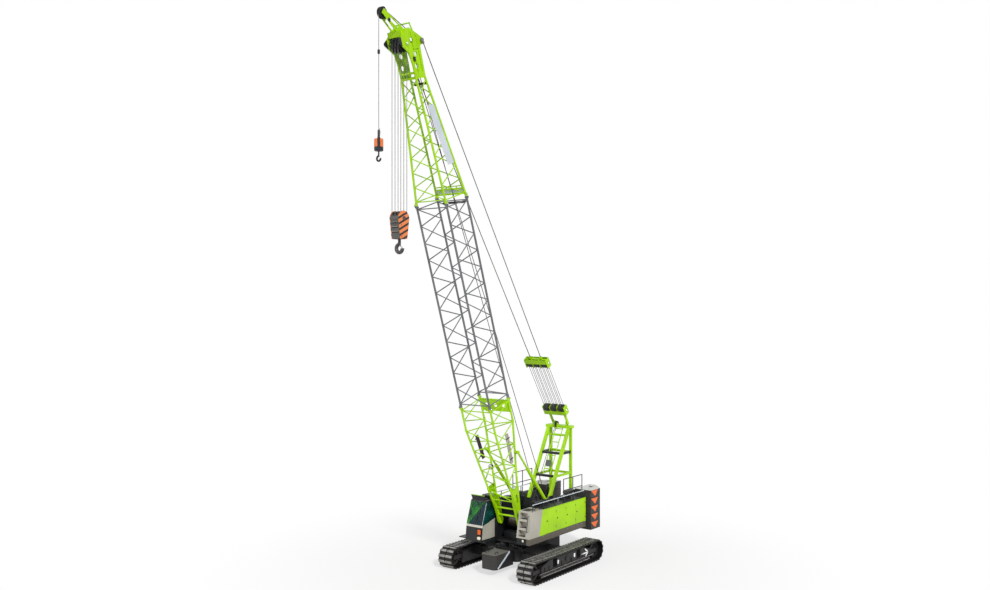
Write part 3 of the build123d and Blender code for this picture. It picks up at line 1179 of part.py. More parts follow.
def sheave_yoke(at, way):
    """A frame of four plates on two cross tubes; scalloped guards cover it on the side away from the falls."""
    half = YOKE_WIDTH / 2
    wall = YOKE_PLATE_STAYS / 2
    depth = YOKE_HALF_DEPTH
    middles = yoke_plates()
    low, high = at - YOKE_HALF_LENGTH, at + YOKE_HALF_LENGTH
    shapes = [block(low, high, y - wall, y + wall, -depth, depth) for y in middles]
    reach = YOKE_HALF_LENGTH - YOKE_TIE - wall
    shapes += [pin_y(at + end * reach, 0, YOKE_TIE, -half, half) for end in (-1, 1)]
    edge = at - way * YOKE_HALF_LENGTH
    for face in (-1, 1):
        near, far = face * (depth - YOKE_GUARD), face * depth
        shapes.append(block(min(at, edge), max(at, edge), -half, half, min(near, far), max(near, far)))
        for left, right in zip(middles, middles[1:]):
            y = (left + right) / 2
            shapes.append(rod((at, y, near), (at, y, far), YOKE_SCALLOP))
    return joined(*shapes)


def yoke_sheaves(at):
    """A pair of sheaves in each of the three gaps between a yoke's plates."""
    middles = yoke_plates()
    wall = YOKE_PLATE_STAYS / 2
    wheel = sheave(YOKE_ROPE_LINE, YOKE_SHEAVE, YOKE_ROPE_LINE + YOKE_RIM)
    groups = []
    for left, right in zip(middles, middles[1:]):
        middle = (left + right) / 2
        wheels = [Pos(at, middle + way * YOKE_SHEAVE_PITCH / 2, 0) * wheel for way in (-1, 1)]
        groups.append(joined(pin_y(at, 0, YOKE_TIE, left + wall, right - wall), *wheels))
    return groups


def make_stays():
    """The spreader on the gantry, the bridle and the pendants to the boom's ears."""
    link_outer = LINK_INNER_Y + LINK_PLATE
    deep = LINK_HALF_DEPTH
    spreader_low = LINK_LENGTH - YOKE_HALF_LENGTH
    link = joined(block(0, spreader_low, LINK_INNER_Y, link_outer, -deep, deep),
                  pin_y(0, 0, deep, LINK_INNER_Y, link_outer),
                  pin_y(0, 0, PEAK_PIN, GANTRY_EAR_Y - GANTRY_EAR / 2, LINK_INNER_Y),
                  block(spreader_low - LINK_FOOT, spreader_low, yoke_plates()[2], link_outer, -deep, deep))
    keep("spreader_frame", STAY * joined(sheave_yoke(LINK_LENGTH, 1), *both(link)))
    keep("spreader_sheaves", *[STAY * group for group in yoke_sheaves(LINK_LENGTH)])
    bridle_high = BRIDLE_AT + YOKE_HALF_LENGTH
    horn_high = bridle_high + HORN_LENGTH
    deep = PENDANT_HALF * 2
    horns = both(block(bridle_high, horn_high, STAY_START_Y - HORN_HALF, STAY_START_Y + HORN_HALF, -deep, deep))
    neck = block(bridle_high - NECK, bridle_high, -STAY_START_Y - HORN_HALF, STAY_START_Y + HORN_HALF, -deep, deep)
    keep("bridle_frame", STAY * joined(sheave_yoke(BRIDLE_AT, -1), neck, *horns))
    keep("bridle_sheaves", *[STAY * group for group in yoke_sheaves(BRIDLE_AT)])
    end_y = HEAD_HALF_WIDTH + EAR_BOSS + STAY_GAP + PENDANT_HALF
    low, high = end_y - PENDANT_HALF, end_y + PENDANT_HALF
    line = strut((horn_high, STAY_START_Y, 0), (STAY_LENGTH - PENDANT_EYE, end_y, 0), STAY_RADIUS, 8)
    line -= block(BRIDLE_AT, horn_high, 0, BOOM_WIDTH, -deep, deep)
    eye = joined(line, block(STAY_LENGTH - PENDANT_END, STAY_LENGTH, low, high, -HORN_HALF, HORN_HALF),
                 pin_y(STAY_LENGTH, 0, PENDANT_EYE, low, high))
    keep("pendants", *[STAY * shape for shape in both(eye)])


# Backstops, in the frame of the line from the deck pivot to the lug on the boom
LUG = base_chord(BACKSTOP_S, 1, 1)
LUG_X, LUG_Z = along_boom(LUG[0], LUG[2])
BACKSTOP_LENGTH = math.hypot(LUG_X - BACKSTOP_X, LUG_Z - BACKSTOP_Z)
BACKSTOP_ANGLE = math.degrees(math.atan2(LUG_Z - BACKSTOP_Z, LUG_X - BACKSTOP_X))
BACKSTOP = Pos(BACKSTOP_X, 0, BACKSTOP_Z) * Rot(0, -BACKSTOP_ANGLE, 0)


def make_backstops():
    """The telescopic backstops: a tube hinged on the deck and a rod that ends at the boom."""
    bore = BACKSTOP_ROD + ROD_PLAY
    end = BACKSTOP_TUBE_LENGTH
    tube = rod((BACKSTOP_TUBE, BACKSTOP_Y, 0), (end, BACKSTOP_Y, 0), BACKSTOP_TUBE)
    eye = pin_y(0, 0, BACKSTOP_EYE, BACKSTOP_Y - BACKSTOP_EYE_HALF, BACKSTOP_Y + BACKSTOP_EYE_HALF)
    tube = joined(tube, eye) - rod((TUBE_BOTTOM, BACKSTOP_Y, 0), (end + 1, BACKSTOP_Y, 0), bore)
    tube -= pin_y(0, 0, BACKSTOP_PIN + PIN_PLAY, BACKSTOP_Y - BACKSTOP_EYE, BACKSTOP_Y + BACKSTOP_EYE)
    keep("backstop_tubes", *[BACKSTOP * shape for shape in both(tube)])
    start = BACKSTOP_LENGTH - BACKSTOP_ROD_LENGTH
    bar = rod((start, BACKSTOP_Y, 0), (BACKSTOP_LENGTH - BACKSTOP_ROD, BACKSTOP_Y, 0), BACKSTOP_ROD)
    tip = pin_y(BACKSTOP_LENGTH, 0, BACKSTOP_TUBE, BACKSTOP_Y - BACKSTOP_ROD, BACKSTOP_Y + BACKSTOP_ROD)
    keep("backstop_rods", *[BACKSTOP * shape for shape in both(joined(bar, tip))])


# Hooks
HEAD_X, HEAD_Z = along_boom(SHEAVE_S, SHEAVE_N)
TIP_X, TIP_Z = along_boom(TIP_S, TIP_N)
AUX_X = TIP_X + TIP_ROPE_LINE


def hook(x, top, bottom, bow, thickness):
    """A hook in the plane across the machine: a shank, a bow of three quarters of a turn and a round tip."""
    centre = bottom + bow + thickness
    shank = rod((x, 0, centre + bow * 0.8), (x, 0, top), thickness * 0.8)
    circle = Face(Wire.make_circle(thickness, Plane((x, 0, centre + bow), z_dir=(0, 1, 0))))
    bend = Part(Solid.revolve(circle, 270, Axis((x, 0, centre), (1, 0, 0))).wrapped)
    tip = Pos(x, -bow, centre) * Sphere(thickness)
    return joined(shank, bend, tip)


def hook_block():
    """The block's cheeks, the covers between them in front and behind, and the head that holds the hook."""
    outer = BLOCK_HALF_WIDTH
    inner = outer - BLOCK_CHEEK
    foot = BLOCK_RADIUS * BLOCK_TAPER
    side = [(HEAD_X - BLOCK_RADIUS, BLOCK_AXIS_Z), (HEAD_X + BLOCK_RADIUS, BLOCK_AXIS_Z), (HEAD_X + foot, BLOCK_LOW),
            (HEAD_X - foot, BLOCK_LOW)]
    cheek = joined(plate_y(side, inner, outer), pin_y(HEAD_X, BLOCK_AXIS_Z, BLOCK_RADIUS, inner, outer))
    shapes = both(cheek)
    ring = pin_y(HEAD_X, BLOCK_AXIS_Z, BLOCK_RADIUS, -inner, inner)
    ring -= pin_y(HEAD_X, BLOCK_AXIS_Z, BLOCK_RADIUS - BLOCK_COVER, -inner, inner)
    low, high = BLOCK_AXIS_Z - BLOCK_COVER_HALF, BLOCK_AXIS_Z + BLOCK_COVER_HALF
    edge = BLOCK_RADIUS - (BLOCK_RADIUS - foot) * BLOCK_COVER_HALF / (BLOCK_AXIS_Z - BLOCK_LOW)
    for way in (-1, 1):
        near, far = HEAD_X + way * (ROPE_LINE + ROPE_RADIUS), HEAD_X + way * 2 * BLOCK_RADIUS
        shapes.append(ring & block(min(near, far), max(near, far), -inner, inner, low, high))
        cover = [(HEAD_X + way * edge, low), (HEAD_X + way * foot, BLOCK_LOW),
                 (HEAD_X + way * (foot - BLOCK_COVER), BLOCK_LOW), (HEAD_X + way * (edge - BLOCK_COVER), low)]
        shapes.append(plate_y(cover, -inner, inner))
    shapes.append(block(HEAD_X - BLOCK_HEAD / 2, HEAD_X + BLOCK_HEAD / 2, -inner, inner, BLOCK_LOW + BLOCK_CHEEK,
                        BLOCK_LOW + BLOCK_CHEEK + BLOCK_HEAD))
    return joined(*shapes)


def make_hooks():
    """The main hook block on its falls and the single-line hook on the tip's rope."""
    lines = (-SHEAVE_PITCH, 0, SHEAVE_PITCH)
    falls = []
    for y in lines:
        for x in (HEAD_X - ROPE_LINE, HEAD_X + ROPE_LINE):
            falls.append(strut((x, y, BLOCK_AXIS_Z), (x, y, HEAD_Z), ROPE_RADIUS - 1, 8))
    keep("main_falls", *falls)
    keep("hook_block", hook_block())
    inner = BLOCK_HALF_WIDTH - BLOCK_CHEEK
    wheel = sheave(ROPE_LINE, SHEAVE_WIDTH, ROPE_LINE + SHEAVE_RIM)
    wheels = [Pos(HEAD_X, y, BLOCK_AXIS_Z) * wheel for y in lines]
    keep("hook_block_sheaves", joined(pin_y(HEAD_X, BLOCK_AXIS_Z, SHEAVE_SHAFT, -inner, inner), *wheels))
    keep("main_hook", hook(HEAD_X, BLOCK_LOW + BLOCK_CHEEK - HOOK_GAP, HOOK_BOTTOM, HOOK_BOW, HOOK_THICKNESS))
    keep("aux_fall", strut((AUX_X, 0, AUX_TOP_Z), (AUX_X, 0, TIP_Z), ROPE_RADIUS - 1, 8))
    body_top = AUX_TOP_Z - AUX_SOCKET
    body_low = body_top - AUX_WEIGHT_HEIGHT
    weight = rod((AUX_X, 0, body_low), (AUX_X, 0, body_top), AUX_RADIUS)
    weight = fillet(weight.edges().filter_by(GeomType.CIRCLE), AUX_ROUND)
    keep("aux_weight", joined(weight, rod((AUX_X, 0, body_top), (AUX_X, 0, AUX_TOP_Z), AUX_SOCKET_RADIUS)))
    keep("aux_hook", hook(AUX_X, body_low - HOOK_GAP, AUX_BOTTOM, AUX_BOW, AUX_THICKNESS))


def main():
    """Builds every node and writes one file for each."""
    make_carbody()
    make_tracks()
    make_turntable()
    make_house()
    make_counterweight()
    make_gantry()
    make_winches()
    make_cab()
    make_boom()
    make_stays()
    make_backstops()
    make_hooks()
    os.makedirs("parts", exist_ok=True)
    for name, shape in NODES.items():
        export_step(shape, f"parts/{name}.step")
    print("stay angle", round(STAY_ANGLE, 3), "length", round(STAY_LENGTH, 1))
    print("backstop angle", round(BACKSTOP_ANGLE, 3), "length", round(BACKSTOP_LENGTH, 1))
    print("head sheave", round(HEAD_X, 1), round(HEAD_Z, 1), "tip sheave", round(TIP_X, 1), round(TIP_Z, 1))


main()
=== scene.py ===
import logging
import math
from dataclasses import dataclass, replace
from enum import Enum
from typing import ClassVar, Sequence

import bpy
import numpy as np
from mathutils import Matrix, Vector


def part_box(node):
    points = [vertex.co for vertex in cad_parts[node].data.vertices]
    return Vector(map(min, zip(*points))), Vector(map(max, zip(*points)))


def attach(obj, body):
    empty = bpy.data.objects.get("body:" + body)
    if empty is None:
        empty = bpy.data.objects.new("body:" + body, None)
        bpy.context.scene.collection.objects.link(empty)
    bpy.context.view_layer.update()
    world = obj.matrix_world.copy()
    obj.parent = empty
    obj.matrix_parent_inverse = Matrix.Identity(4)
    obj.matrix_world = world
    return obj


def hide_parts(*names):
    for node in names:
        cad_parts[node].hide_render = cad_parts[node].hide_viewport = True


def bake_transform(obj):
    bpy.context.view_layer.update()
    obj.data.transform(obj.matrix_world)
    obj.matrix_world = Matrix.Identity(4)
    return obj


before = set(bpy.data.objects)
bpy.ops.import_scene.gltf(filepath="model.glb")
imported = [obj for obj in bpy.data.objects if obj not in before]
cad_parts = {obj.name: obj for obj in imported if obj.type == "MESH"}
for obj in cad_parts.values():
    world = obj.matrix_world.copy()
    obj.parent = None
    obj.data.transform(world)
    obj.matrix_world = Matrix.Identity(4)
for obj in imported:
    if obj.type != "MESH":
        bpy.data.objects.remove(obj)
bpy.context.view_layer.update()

# A lattice-boom crane on two tracks. +X is forward, +Y the operator's left, +Z up, in metres.
# The camera stands in front of the machine on its left, level, a little above the house.

LOG = logging.getLogger("crane")
Point = tuple[float, float, float]
Span = tuple[float, float]
Array = np.ndarray
Tree = bpy.types.NodeTree
Socket = bpy.types.NodeSocket
MM = 0.001
FAR = 99.0
UNIT = (0.0, 1.0)
ALONG_X = (1.0, 0.0, 0.0)
ALONG_Y = (0.0, 1.0, 0.0)
ALONG_Z = (0.0, 0.0, 1.0)
SHARP_DEGREES = 32.0
LOBE = 0.13
ROPE_STEP = 0.05
ROPE_LAY = 0.5
WHITE_LIGHT = (1.0, 1.0, 1.0, 1.0)
POLE_GAP = 0.02


# Colours and nodes

def linear(colour: str) -> Point:
    """Turns an sRGB hex colour to linear light.

    Args:
        colour: Six hex digits after a hash sign.

    Returns:
        Red, green and blue, each from 0 to 1.
    """
    values = [int(colour[at:at + 2], 16) / 255 for at in (1, 3, 5)]
    return tuple(v / 12.92 if v <= 0.04045 else ((v + 0.055) / 1.055) ** 2.4 for v in values)


def rgba(colour: str) -> tuple[float, float, float, float]:
    """The linear colour with full alpha."""
    return (*linear(colour), 1.0)


def add_node(tree: Tree, kind: str, settings: dict | None = None,
             sockets: dict | None = None) -> bpy.types.Node:
    """Adds a node, sets it and links what feeds it.

    Args:
        tree: The node tree.
        kind: The node's type name, without its ShaderNode prefix.
        settings: Attributes of the node.
        sockets: Inputs by name or number; a value is a constant or an output socket to link.

    Returns:
        The new node.
    """
    node = tree.nodes.new("ShaderNode" + kind)
    for name, value in (settings or {}).items():
        setattr(node, name, value)
    for name, value in (sockets or {}).items():
        if isinstance(value, bpy.types.NodeSocket):
            tree.links.new(value, node.inputs[name])
        else:
            node.inputs[name].default_value = value
    return node


def clear_tree(material: bpy.types.Material) -> Tree:
    """The material's node tree, emptied."""
    material.use_nodes = True
    material.node_tree.nodes.clear()
    return material.node_tree


# Surfaces

@dataclass(frozen=True)
class Surface:
    """Closed shells: their points, and their faces as rows of point numbers.

    The faces are in one array for each number of corners.
    """
    points: Array
    faces: tuple[Array, ...]

    def volume(self) -> float:
        """The signed volume: each face, cut into a fan, makes tetrahedra with the origin."""
        total = 0.0
        for group in self.faces:
            corners = self.points[group]
            fans = np.cross(corners[:, 1:-1], corners[:, 2:])
            total += float((corners[:, :1] * fans).sum())
        return total / 6

    def outward(self) -> "Surface":
        """The same shells with every face looking outwards."""
        if self.volume() >= 0:
            return self
        return Surface(self.points, tuple(group[:, ::-1] for group in self.faces))

    def mirrored(self) -> "Surface":
        """The shells on the machine's other side: y changes its sign and the faces turn round."""
        return Surface(self.points * (1, -1, 1), tuple(group[:, ::-1] for group in self.faces))

    def scattered(self, origins: Array, sides: Array | Point, ups: Array | Point) -> "Surface":
        """Copies the shells to many places.

        A local point (a, b, c) goes to origin + a side + b up + c (side x up).

        Args:
            origins: One row for each copy.
            sides: The local first axis, one row, or one for each copy.
            ups: The local second axis, likewise.

        Returns:
            All the copies as one surface.
        """
        tables = [np.atleast_2d(each) for each in (origins, sides, ups)]
        origins, sides, ups = np.broadcast_arrays(*tables)
        axes = np.stack([sides, ups, np.cross(sides, ups)], 1)
        points = origins[:, None] + np.einsum("pa,cai->cpi", self.points, axes)
        starts = np.arange(len(origins))[:, None, None] * len(self.points)
        faces = tuple((group[None] + starts).reshape(-1, group.shape[1])
                      for group in self.faces)
        return Surface(points.reshape(-1, 3), faces)


def joined(surfaces: Sequence[Surface]) -> Surface:
    """Several surfaces as one: each one's face numbers move on by the points before it."""
    starts = np.cumsum([0] + [len(each.points) for each in surfaces[:-1]])
    faces = tuple(group + start for each, start in zip(surfaces, starts) for group in each.faces)
    return Surface(np.concatenate([each.points for each in surfaces]), faces)


def rows(x: Array | float, y: Array | float, z: Array | float) -> Array:
    """Places as rows of x, y and z, where a single number serves every row."""
    return np.stack(np.broadcast_arrays(x, y, z), -1)


class Facing(Enum):
    """The way a mounted piece looks, by the directions of its own first and second axes."""
    LEFT = ((-1.0, 0.0, 0.0), ALONG_Z)
    FRONT = (ALONG_Y, ALONG_Z)
    TOP = (ALONG_X, ALONG_Y)

    def mount(self, surface: Surface, origins: Array | Sequence[float]) -> Surface:
        """Sets a surface, or one copy for each origin, on a face that looks this way."""
        return surface.scattered(np.asarray(origins, float), *np.asarray(self.value, float))


def lofted(rings: Array, loop: bool = False) -> Surface:
    """Joins rings of points into a shell.

    Point k of ring r has point k + 1 beside it and ring r + 1 ahead of it; those four make a face.

    Args:
        rings: Points as (ring, place on the ring, xyz).
        loop: Whether the last ring meets the first; otherwise both ends get a flat cap.

    Returns:
        The shell, facing outwards.
    """
    number = np.arange(rings.shape[0] * rings.shape[1]).reshape(rings.shape[:2])
    here = number if loop else number[:-1]
    ahead = np.roll(number, -1, 0) if loop else number[1:]
    quads = np.stack([here, np.roll(here, -1, 1), np.roll(ahead, -1, 1), ahead], -1)
    caps = () if loop else (number[:1, ::-1], number[-1:])
    return Surface(rings.reshape(-1, 3), (quads.reshape(-1, 4), *caps)).outward()


def carried(path: Array, profile: Array, up: Point, loop: bool = False) -> Surface:
    """Carries a profile along a path.

    At each place the profile's first axis is tangent x up and its second is that axis x tangent.

    Args:
        path: Places along the path.
        profile: The outline, as (first, second), for all places or one for each place.
        up: A direction that the path never follows.
        loop: Whether the path closes.

    Returns:
        The swept shell.
    """
    path = np.asarray(path, float)
    if loop:
        along = np.roll(path, -1, 0) - np.roll(path, 1, 0)
    else:
        along = np.gradient(path, axis=0)
    along = along / np.linalg.norm(along, axis=1, keepdims=True)
    first = np.cross(along, up)
    first = first / np.linalg.norm(first, axis=1, keepdims=True)
    second = np.cross(first, along)
    profile = np.asarray(profile, float)
    if profile.ndim == 2:
        profile = np.broadcast_to(profile, (len(path), *profile.shape))
    across = profile[..., :1] * first[:, None]
    return lofted(path[:, None] + across + profile[..., 1:] * second[:, None], loop)


def bent(points: Sequence[Point], cut: float, loop: bool = False, steps: int = 6) -> Array:
    """A path whose corners are rounded.

    Each corner b, with p and q at cut from it on both runs, becomes
    (1-t)^2 p + 2t(1-t) b + t^2 q.

    Args:
        points: The corners, with both ends on an open path.
        cut: How far the rounding starts from a corner.
        loop: Whether the path closes.
        steps: Places on each rounding.

    Returns:
        The places along the path.
    """
    points = np.asarray(points, float)
    corner = points if loop else points[1:-1]
    before = (np.roll(points, 1, 0) if loop else points[:-2]) - corner
    after = (np.roll(points, -1, 0) if loop else points[2:]) - corner
    start = corner + before * (cut / np.linalg.norm(before, axis=1, keepdims=True))
    end = corner + after * (cut / np.linalg.norm(after, axis=1, keepdims=True))
    t = np.linspace(0, 1, steps)[:, None]
    arcs = ((1 - t) ** 2 * start[:, None] + 2 * t * (1 - t) * corner[:, None]
            + t ** 2 * end[:, None]).reshape(-1, 3)
    return arcs if loop else np.concatenate([points[:1], arcs, points[-1:]])


def circle(radius: float, sides: int) -> Array:
    """A round outline: radius times (cos, sin) of evenly spaced turns."""
    turns = np.linspace(0, 2 * np.pi, sides, endpoint=False)
    return radius * np.stack([np.cos(turns), np.sin(turns)], 1)


def rounded(width: float, height: float, radius: float, steps: int = 4) -> Array:
    """A rectangle's outline about its middle, each corner a quarter circle."""
    turns = np.linspace(0, np.pi / 2, steps) + np.arange(4)[:, None] * np.pi / 2
    reach = (width / 2 - radius, height / 2 - radius)
    middle = np.array([(1, 1), (-1, 1), (-1, -1), (1, -1)]) * reach
    arcs = radius * np.stack([np.cos(turns), np.sin(turns)], -1)
    return (middle[:, None] + arcs).reshape(-1, 2)


def pipe(points: Sequence[Point], radius: float, up: Point, cut: float = 0.0,
         sides: int = 12) -> Surface:
    """A round bar along a path, with rounded bends where cut is more than zero."""
    path = bent(points, cut) if cut else np.asarray(points, float)
    return carried(path, circle(radius, sides), up)


def bar(start: Point, end: Point, outline: Array, up: Point) -> Surface:
    """A straight bar with the given outline."""
    return carried(np.array([start, end]), outline, up)


def turned(profile: Sequence[Span], sides: int = 20) -> Surface:
    """A body turned about the local third axis: each (radius, height) makes one ring."""
    radius, height = np.asarray(profile, float).T[..., None]
    return lofted(rows(*(radius * part for part in circle(1.0, sides).T), height))


def slab(outline: Array, thickness: float, edge: float) -> Surface:
    """A plate on the local third axis with a bevelled upper edge.

    The upper ring is inset: each corner moves by edge (n1 + n2) / (1 + n1 n2), where n1 and n2
    are the inward normals beside it.

    Args:
        outline: Corners in order, as local (first, second).
        thickness: Height of the plate.
        edge: Width and height of the bevel.

    Returns:
        The plate, from height zero up.
    """
    outline = np.asarray(outline, float)
    following = np.roll(outline, -1, 0)
    if (outline[:, 0] * following[:, 1] - outline[:, 1] * following[:, 0]).sum() < 0:
        outline = outline[::-1]
    ahead = np.roll(outline, -1, 0) - outline
    length = np.linalg.norm(ahead, axis=1, keepdims=True)
    normal = np.stack([-ahead[:, 1], ahead[:, 0]], 1) / length
    last = np.roll(normal, 1, 0)
    inner = outline + edge * (normal + last) / (1 + (normal * last).sum(1, keepdims=True))
    heights = (0.0, thickness - edge, thickness)
    rings = zip((outline, outline, inner), heights)
    return lofted(np.stack([rows(*ring.T, height) for ring, height in rings]))


def box(low: Point, high: Point, edge: float = 0.006) -> Surface:
    """A block between two corners, its upright edges rounded and its upper edges bevelled."""
    low, high = np.asarray(low, float), np.asarray(high, float)
    width, depth, height = high - low
    plate = slab(rounded(width, depth, edge * 1.5, 3), height, edge)
    return Facing.TOP.mount(plate, (*(low + high)[:2] / 2, low[2]))


def bolt(radius: float, height: float) -> Surface:
    """A six-sided bolt head with a chamfered top."""
    return turned([(radius, 0.0), (radius, 0.75 * height), (0.8 * radius, height)], 6)


def rope(path: Array, radius: float, lay: float, strands: int = 6) -> Surface:
    """A stranded wire rope along a path.

    Its radius at turn a and length l is radius (1 + LOBE cos(strands (a - 2 pi l / lay))), so
    the lobes wind round.

    Args:
        path: Places along the rope.
        radius: The rope's mean radius.
        lay: Length of one turn of a strand, longer than a real rope's so that it shows.
        strands: Number of lobes.

    Returns:
        The rope's surface.
    """
    steps = np.linalg.norm(np.diff(path, axis=0), axis=1)
    lengths = np.concatenate([[0.0], np.cumsum(steps)])
    ring = np.linspace(0, 2 * np.pi, 3 * strands, endpoint=False)
    wound = ring[None] - 2 * np.pi * lengths[:, None] / lay
    lobes = radius * (1 + LOBE * np.cos(strands * wound))
    profile = np.stack([lobes * np.cos(ring), lobes * np.sin(ring)], -1)
    return carried(path, profile, ALONG_Y)


def straight(start: Point, end: Point, step: float) -> Array:
    """Evenly spaced places from one point to another."""
    count = max(int(math.dist(start, end) / step), 2)
    return np.linspace(start, end, count)


def cushion(half: Point, roundness: float = 0.45) -> Surface:
    """A crowned pad about the origin.

    It is a superellipsoid: each coordinate is half times signed powers of the cosines and sines
    of two turns.

    Args:
        half: Half sizes along the three axes.
        roundness: The power, lower for a squarer pad.

    Returns:
        The pad's surface.
    """
    def power(value: Array) -> Array:
        """The value's size to the power of roundness, with its sign."""
        return np.sign(value) * np.abs(value) ** roundness

    rise = np.linspace(-np.pi / 2 + POLE_GAP, np.pi / 2 - POLE_GAP, 25)[:, None]
    turn = np.linspace(0, 2 * np.pi, 48, endpoint=False)[None]
    x = power(np.cos(rise)) * power(np.cos(turn))
    y = power(np.cos(rise)) * power(np.sin(turn))
    z = np.broadcast_to(power(np.sin(rise)), x.shape)
    return lofted(np.stack([x, y, z], -1) * half)


# Finishes

def worked(tree: Tree, operation: str, *values: object) -> Socket:
    """The result of a Math node, from numbers or sockets."""
    return add_node(tree, "Math", {"operation": operation}, dict(enumerate(values))).outputs[0]


def measured(tree: Tree, operation: str, *values: object) -> Socket:
    """The number that a VectorMath node gives."""
    node = add_node(tree, "VectorMath", {"operation": operation}, dict(enumerate(values)))
    return node.outputs["Value"]


def ranged(tree: Tree, value: Socket, source: Span, target: Span = UNIT,
           smooth: bool = False) -> Socket:
    """Maps one span of a value to another and holds it beyond the ends.

    Args:
        tree: The node tree.
        value: What is mapped.
        source: The span that it covers.
        target: The span that it is mapped to.
        smooth: Whether it eases in and out.

    Returns:
        The mapped value.
    """
    settings = {"interpolation_type": "SMOOTHSTEP"} if smooth else {}
    node = add_node(tree, "MapRange", settings, {
        "Value": value, "From Min": source[0], "From Max": source[1],
        "To Min": target[0], "To Max": target[1]})
    return node.outputs["Result"]


def mixed(tree: Tree, share: Socket, first: object, second: object) -> Socket:
    """The first colour where share is zero and the second where it is one."""
    sockets = {"Factor": share, 6: first, 7: second}
    return add_node(tree, "Mix", {"data_type": "RGBA"}, sockets).outputs[2]


def noise(tree: Tree, place: Socket, size_mm: float, detail: float) -> Socket:
    """A soft noise whose lumps are about size_mm across."""
    sockets = {"Vector": place, "Scale": 1 / (size_mm * MM), "Detail": detail}
    return add_node(tree, "TexNoise", {}, sockets).outputs["Fac"]


@dataclass(frozen=True)
class Zone:
    """A stretch of a node that has a colour of its own, or a painted highlight or painted shade.

    A point is in it where its distance along the direction lies between low and high, in metres.
    """
    direction: Point
    low: float
    high: float
    colour: str


@dataclass(frozen=True)
class Finish:
    """A surface of one colour with patches, runs, zones, flecks, dust, a fine grain and its gloss.

    Colour and shade mix by a noise of patch_mm and by one drawn out downwards, as rain leaves it.
    Flecks are spots of fleck_mm where a noise passes its limit; the grain is a bump of grain_mm.
    """
    name: str
    colour: str
    shade: str
    rough: float
    metal: float = 0.0
    coat: float = 0.0
    specular: float = 0.3
    patch_mm: float = 900.0
    runs: float = 0.35
    grain_mm: float = 9.0
    grain_depth_mm: float = 0.25
    fleck: str = ""
    fleck_mm: float = 60.0
    dust: str = ""
    dust_top: float = 0.0
    zones: tuple[Zone, ...] = ()
    patch_detail: ClassVar[float] = 4.0
    grain_detail: ClassVar[float] = 2.0
    grain_strength: ClassVar[float] = 0.35
    fleck_detail: ClassVar[float] = 6.0
    fleck_edge: ClassVar[Span] = (0.6, 0.66)
    run_size: ClassVar[Point] = (0.06, 0.06, 1.2)
    run_detail: ClassVar[float] = 3.0
    mix_edge: ClassVar[Span] = (0.34, 0.6)
    gloss_spread: ClassVar[float] = 0.07
    least_rough: ClassVar[float] = 0.02
    coat_rough: ClassVar[float] = 0.12
    dust_share: ClassVar[float] = 0.7

    def material(self) -> bpy.types.Material:
        """The material, made the first time that it is asked for."""
        found = bpy.data.materials.get(self.name)
        return found if found else self.build()

    def build(self) -> bpy.types.Material:
        """Makes the node tree: the colour's layers feed the shader, and the grain its bump.

        Returns:
            The material.
        """
        material = bpy.data.materials.new(self.name)
        tree = clear_tree(material)
        place = add_node(tree, "TexCoord").outputs["Object"]
        patch = noise(tree, place, self.patch_mm, self.patch_detail)
        grain = noise(tree, place, self.grain_mm, self.grain_detail)
        colour = self.coloured(tree, place, patch)
        if self.fleck:
            spots = noise(tree, place, self.fleck_mm, self.fleck_detail)
            colour = mixed(tree, ranged(tree, spots, self.fleck_edge), colour, rgba(self.fleck))
        if self.dust:
            colour = self.dusted(tree, place, patch, colour)
        dull = (max(self.rough - self.gloss_spread, self.least_rough),
                min(self.rough + self.gloss_spread, 1.0))
        bump = add_node(tree, "Bump", {}, {
            "Height": grain, "Strength": self.grain_strength, "Distance": self.grain_depth_mm * MM})
        shader = add_node(tree, "BsdfPrincipled", {}, {
            "Base Color": colour, "Roughness": ranged(tree, patch, UNIT, dull),
            "Normal": bump.outputs["Normal"], "Metallic": self.metal, "Coat Weight": self.coat,
            "Coat Roughness": self.coat_rough, "Specular IOR Level": self.specular})
        add_node(tree, "OutputMaterial", {}, {"Surface": shader.outputs["BSDF"]})
        return material

    def coloured(self, tree: Tree, place: Socket, patch: Socket) -> Socket:
        """Paints every zone over the paint: a colour of its own, or on some finishes a painted
        highlight or painted shade.

        Args:
            tree: The node tree.
            place: The point's coordinates.
            patch: The patch noise.

        Returns:
            The colour with its zones.
        """
        colour = self.painted(tree, place, patch)
        for zone in self.zones:
            along = measured(tree, "DOT_PRODUCT", place, zone.direction)
            middle, half = (zone.low + zone.high) / 2, (zone.high - zone.low) / 2
            inside = worked(tree, "COMPARE", along, middle, half)
            colour = mixed(tree, inside, colour, rgba(zone.colour))
        return colour

    def painted(self, tree: Tree, place: Socket, patch: Socket) -> Socket:
        """Mixes colour and shade by the patches and by long thin runs.

        Args:
            tree: The node tree.
            place: The point's coordinates.
            patch: The patch noise.

        Returns:
            The colour of the paint.
        """
        drawn = add_node(tree, "Mapping", {}, {
            "Vector": place, "Scale": tuple(1 / size for size in self.run_size)})
        runs = add_node(tree, "TexNoise", {}, {
            "Vector": drawn.outputs["Vector"], "Scale": 1.0, "Detail": self.run_detail})
        both = add_node(tree, "Mix", {"data_type": "FLOAT"}, {
            0: self.runs, 2: patch, 3: runs.outputs["Fac"]})
        share = ranged(tree, both.outputs[0], self.mix_edge, smooth=True)
        return mixed(tree, share, rgba(self.shade), rgba(self.colour))

    def dusted(self, tree: Tree, place: Socket, patch: Socket, colour: Socket) -> Socket:
        """Lays dust that thins out towards dust_top, broken up by the patches.

        Args:
            tree: The node tree.
            place: The point's coordinates.
            patch: The patch noise.
            colour: The colour so far.

        Returns:
            The colour with the dust.
        """
        height = add_node(tree, "SeparateXYZ", {}, {0: place}).outputs[2]
        fall = ranged(tree, height, (0.0, self.dust_top), (self.dust_share, 0.0))
        return mixed(tree, worked(tree, "MULTIPLY", fall, patch), colour, rgba(self.dust))


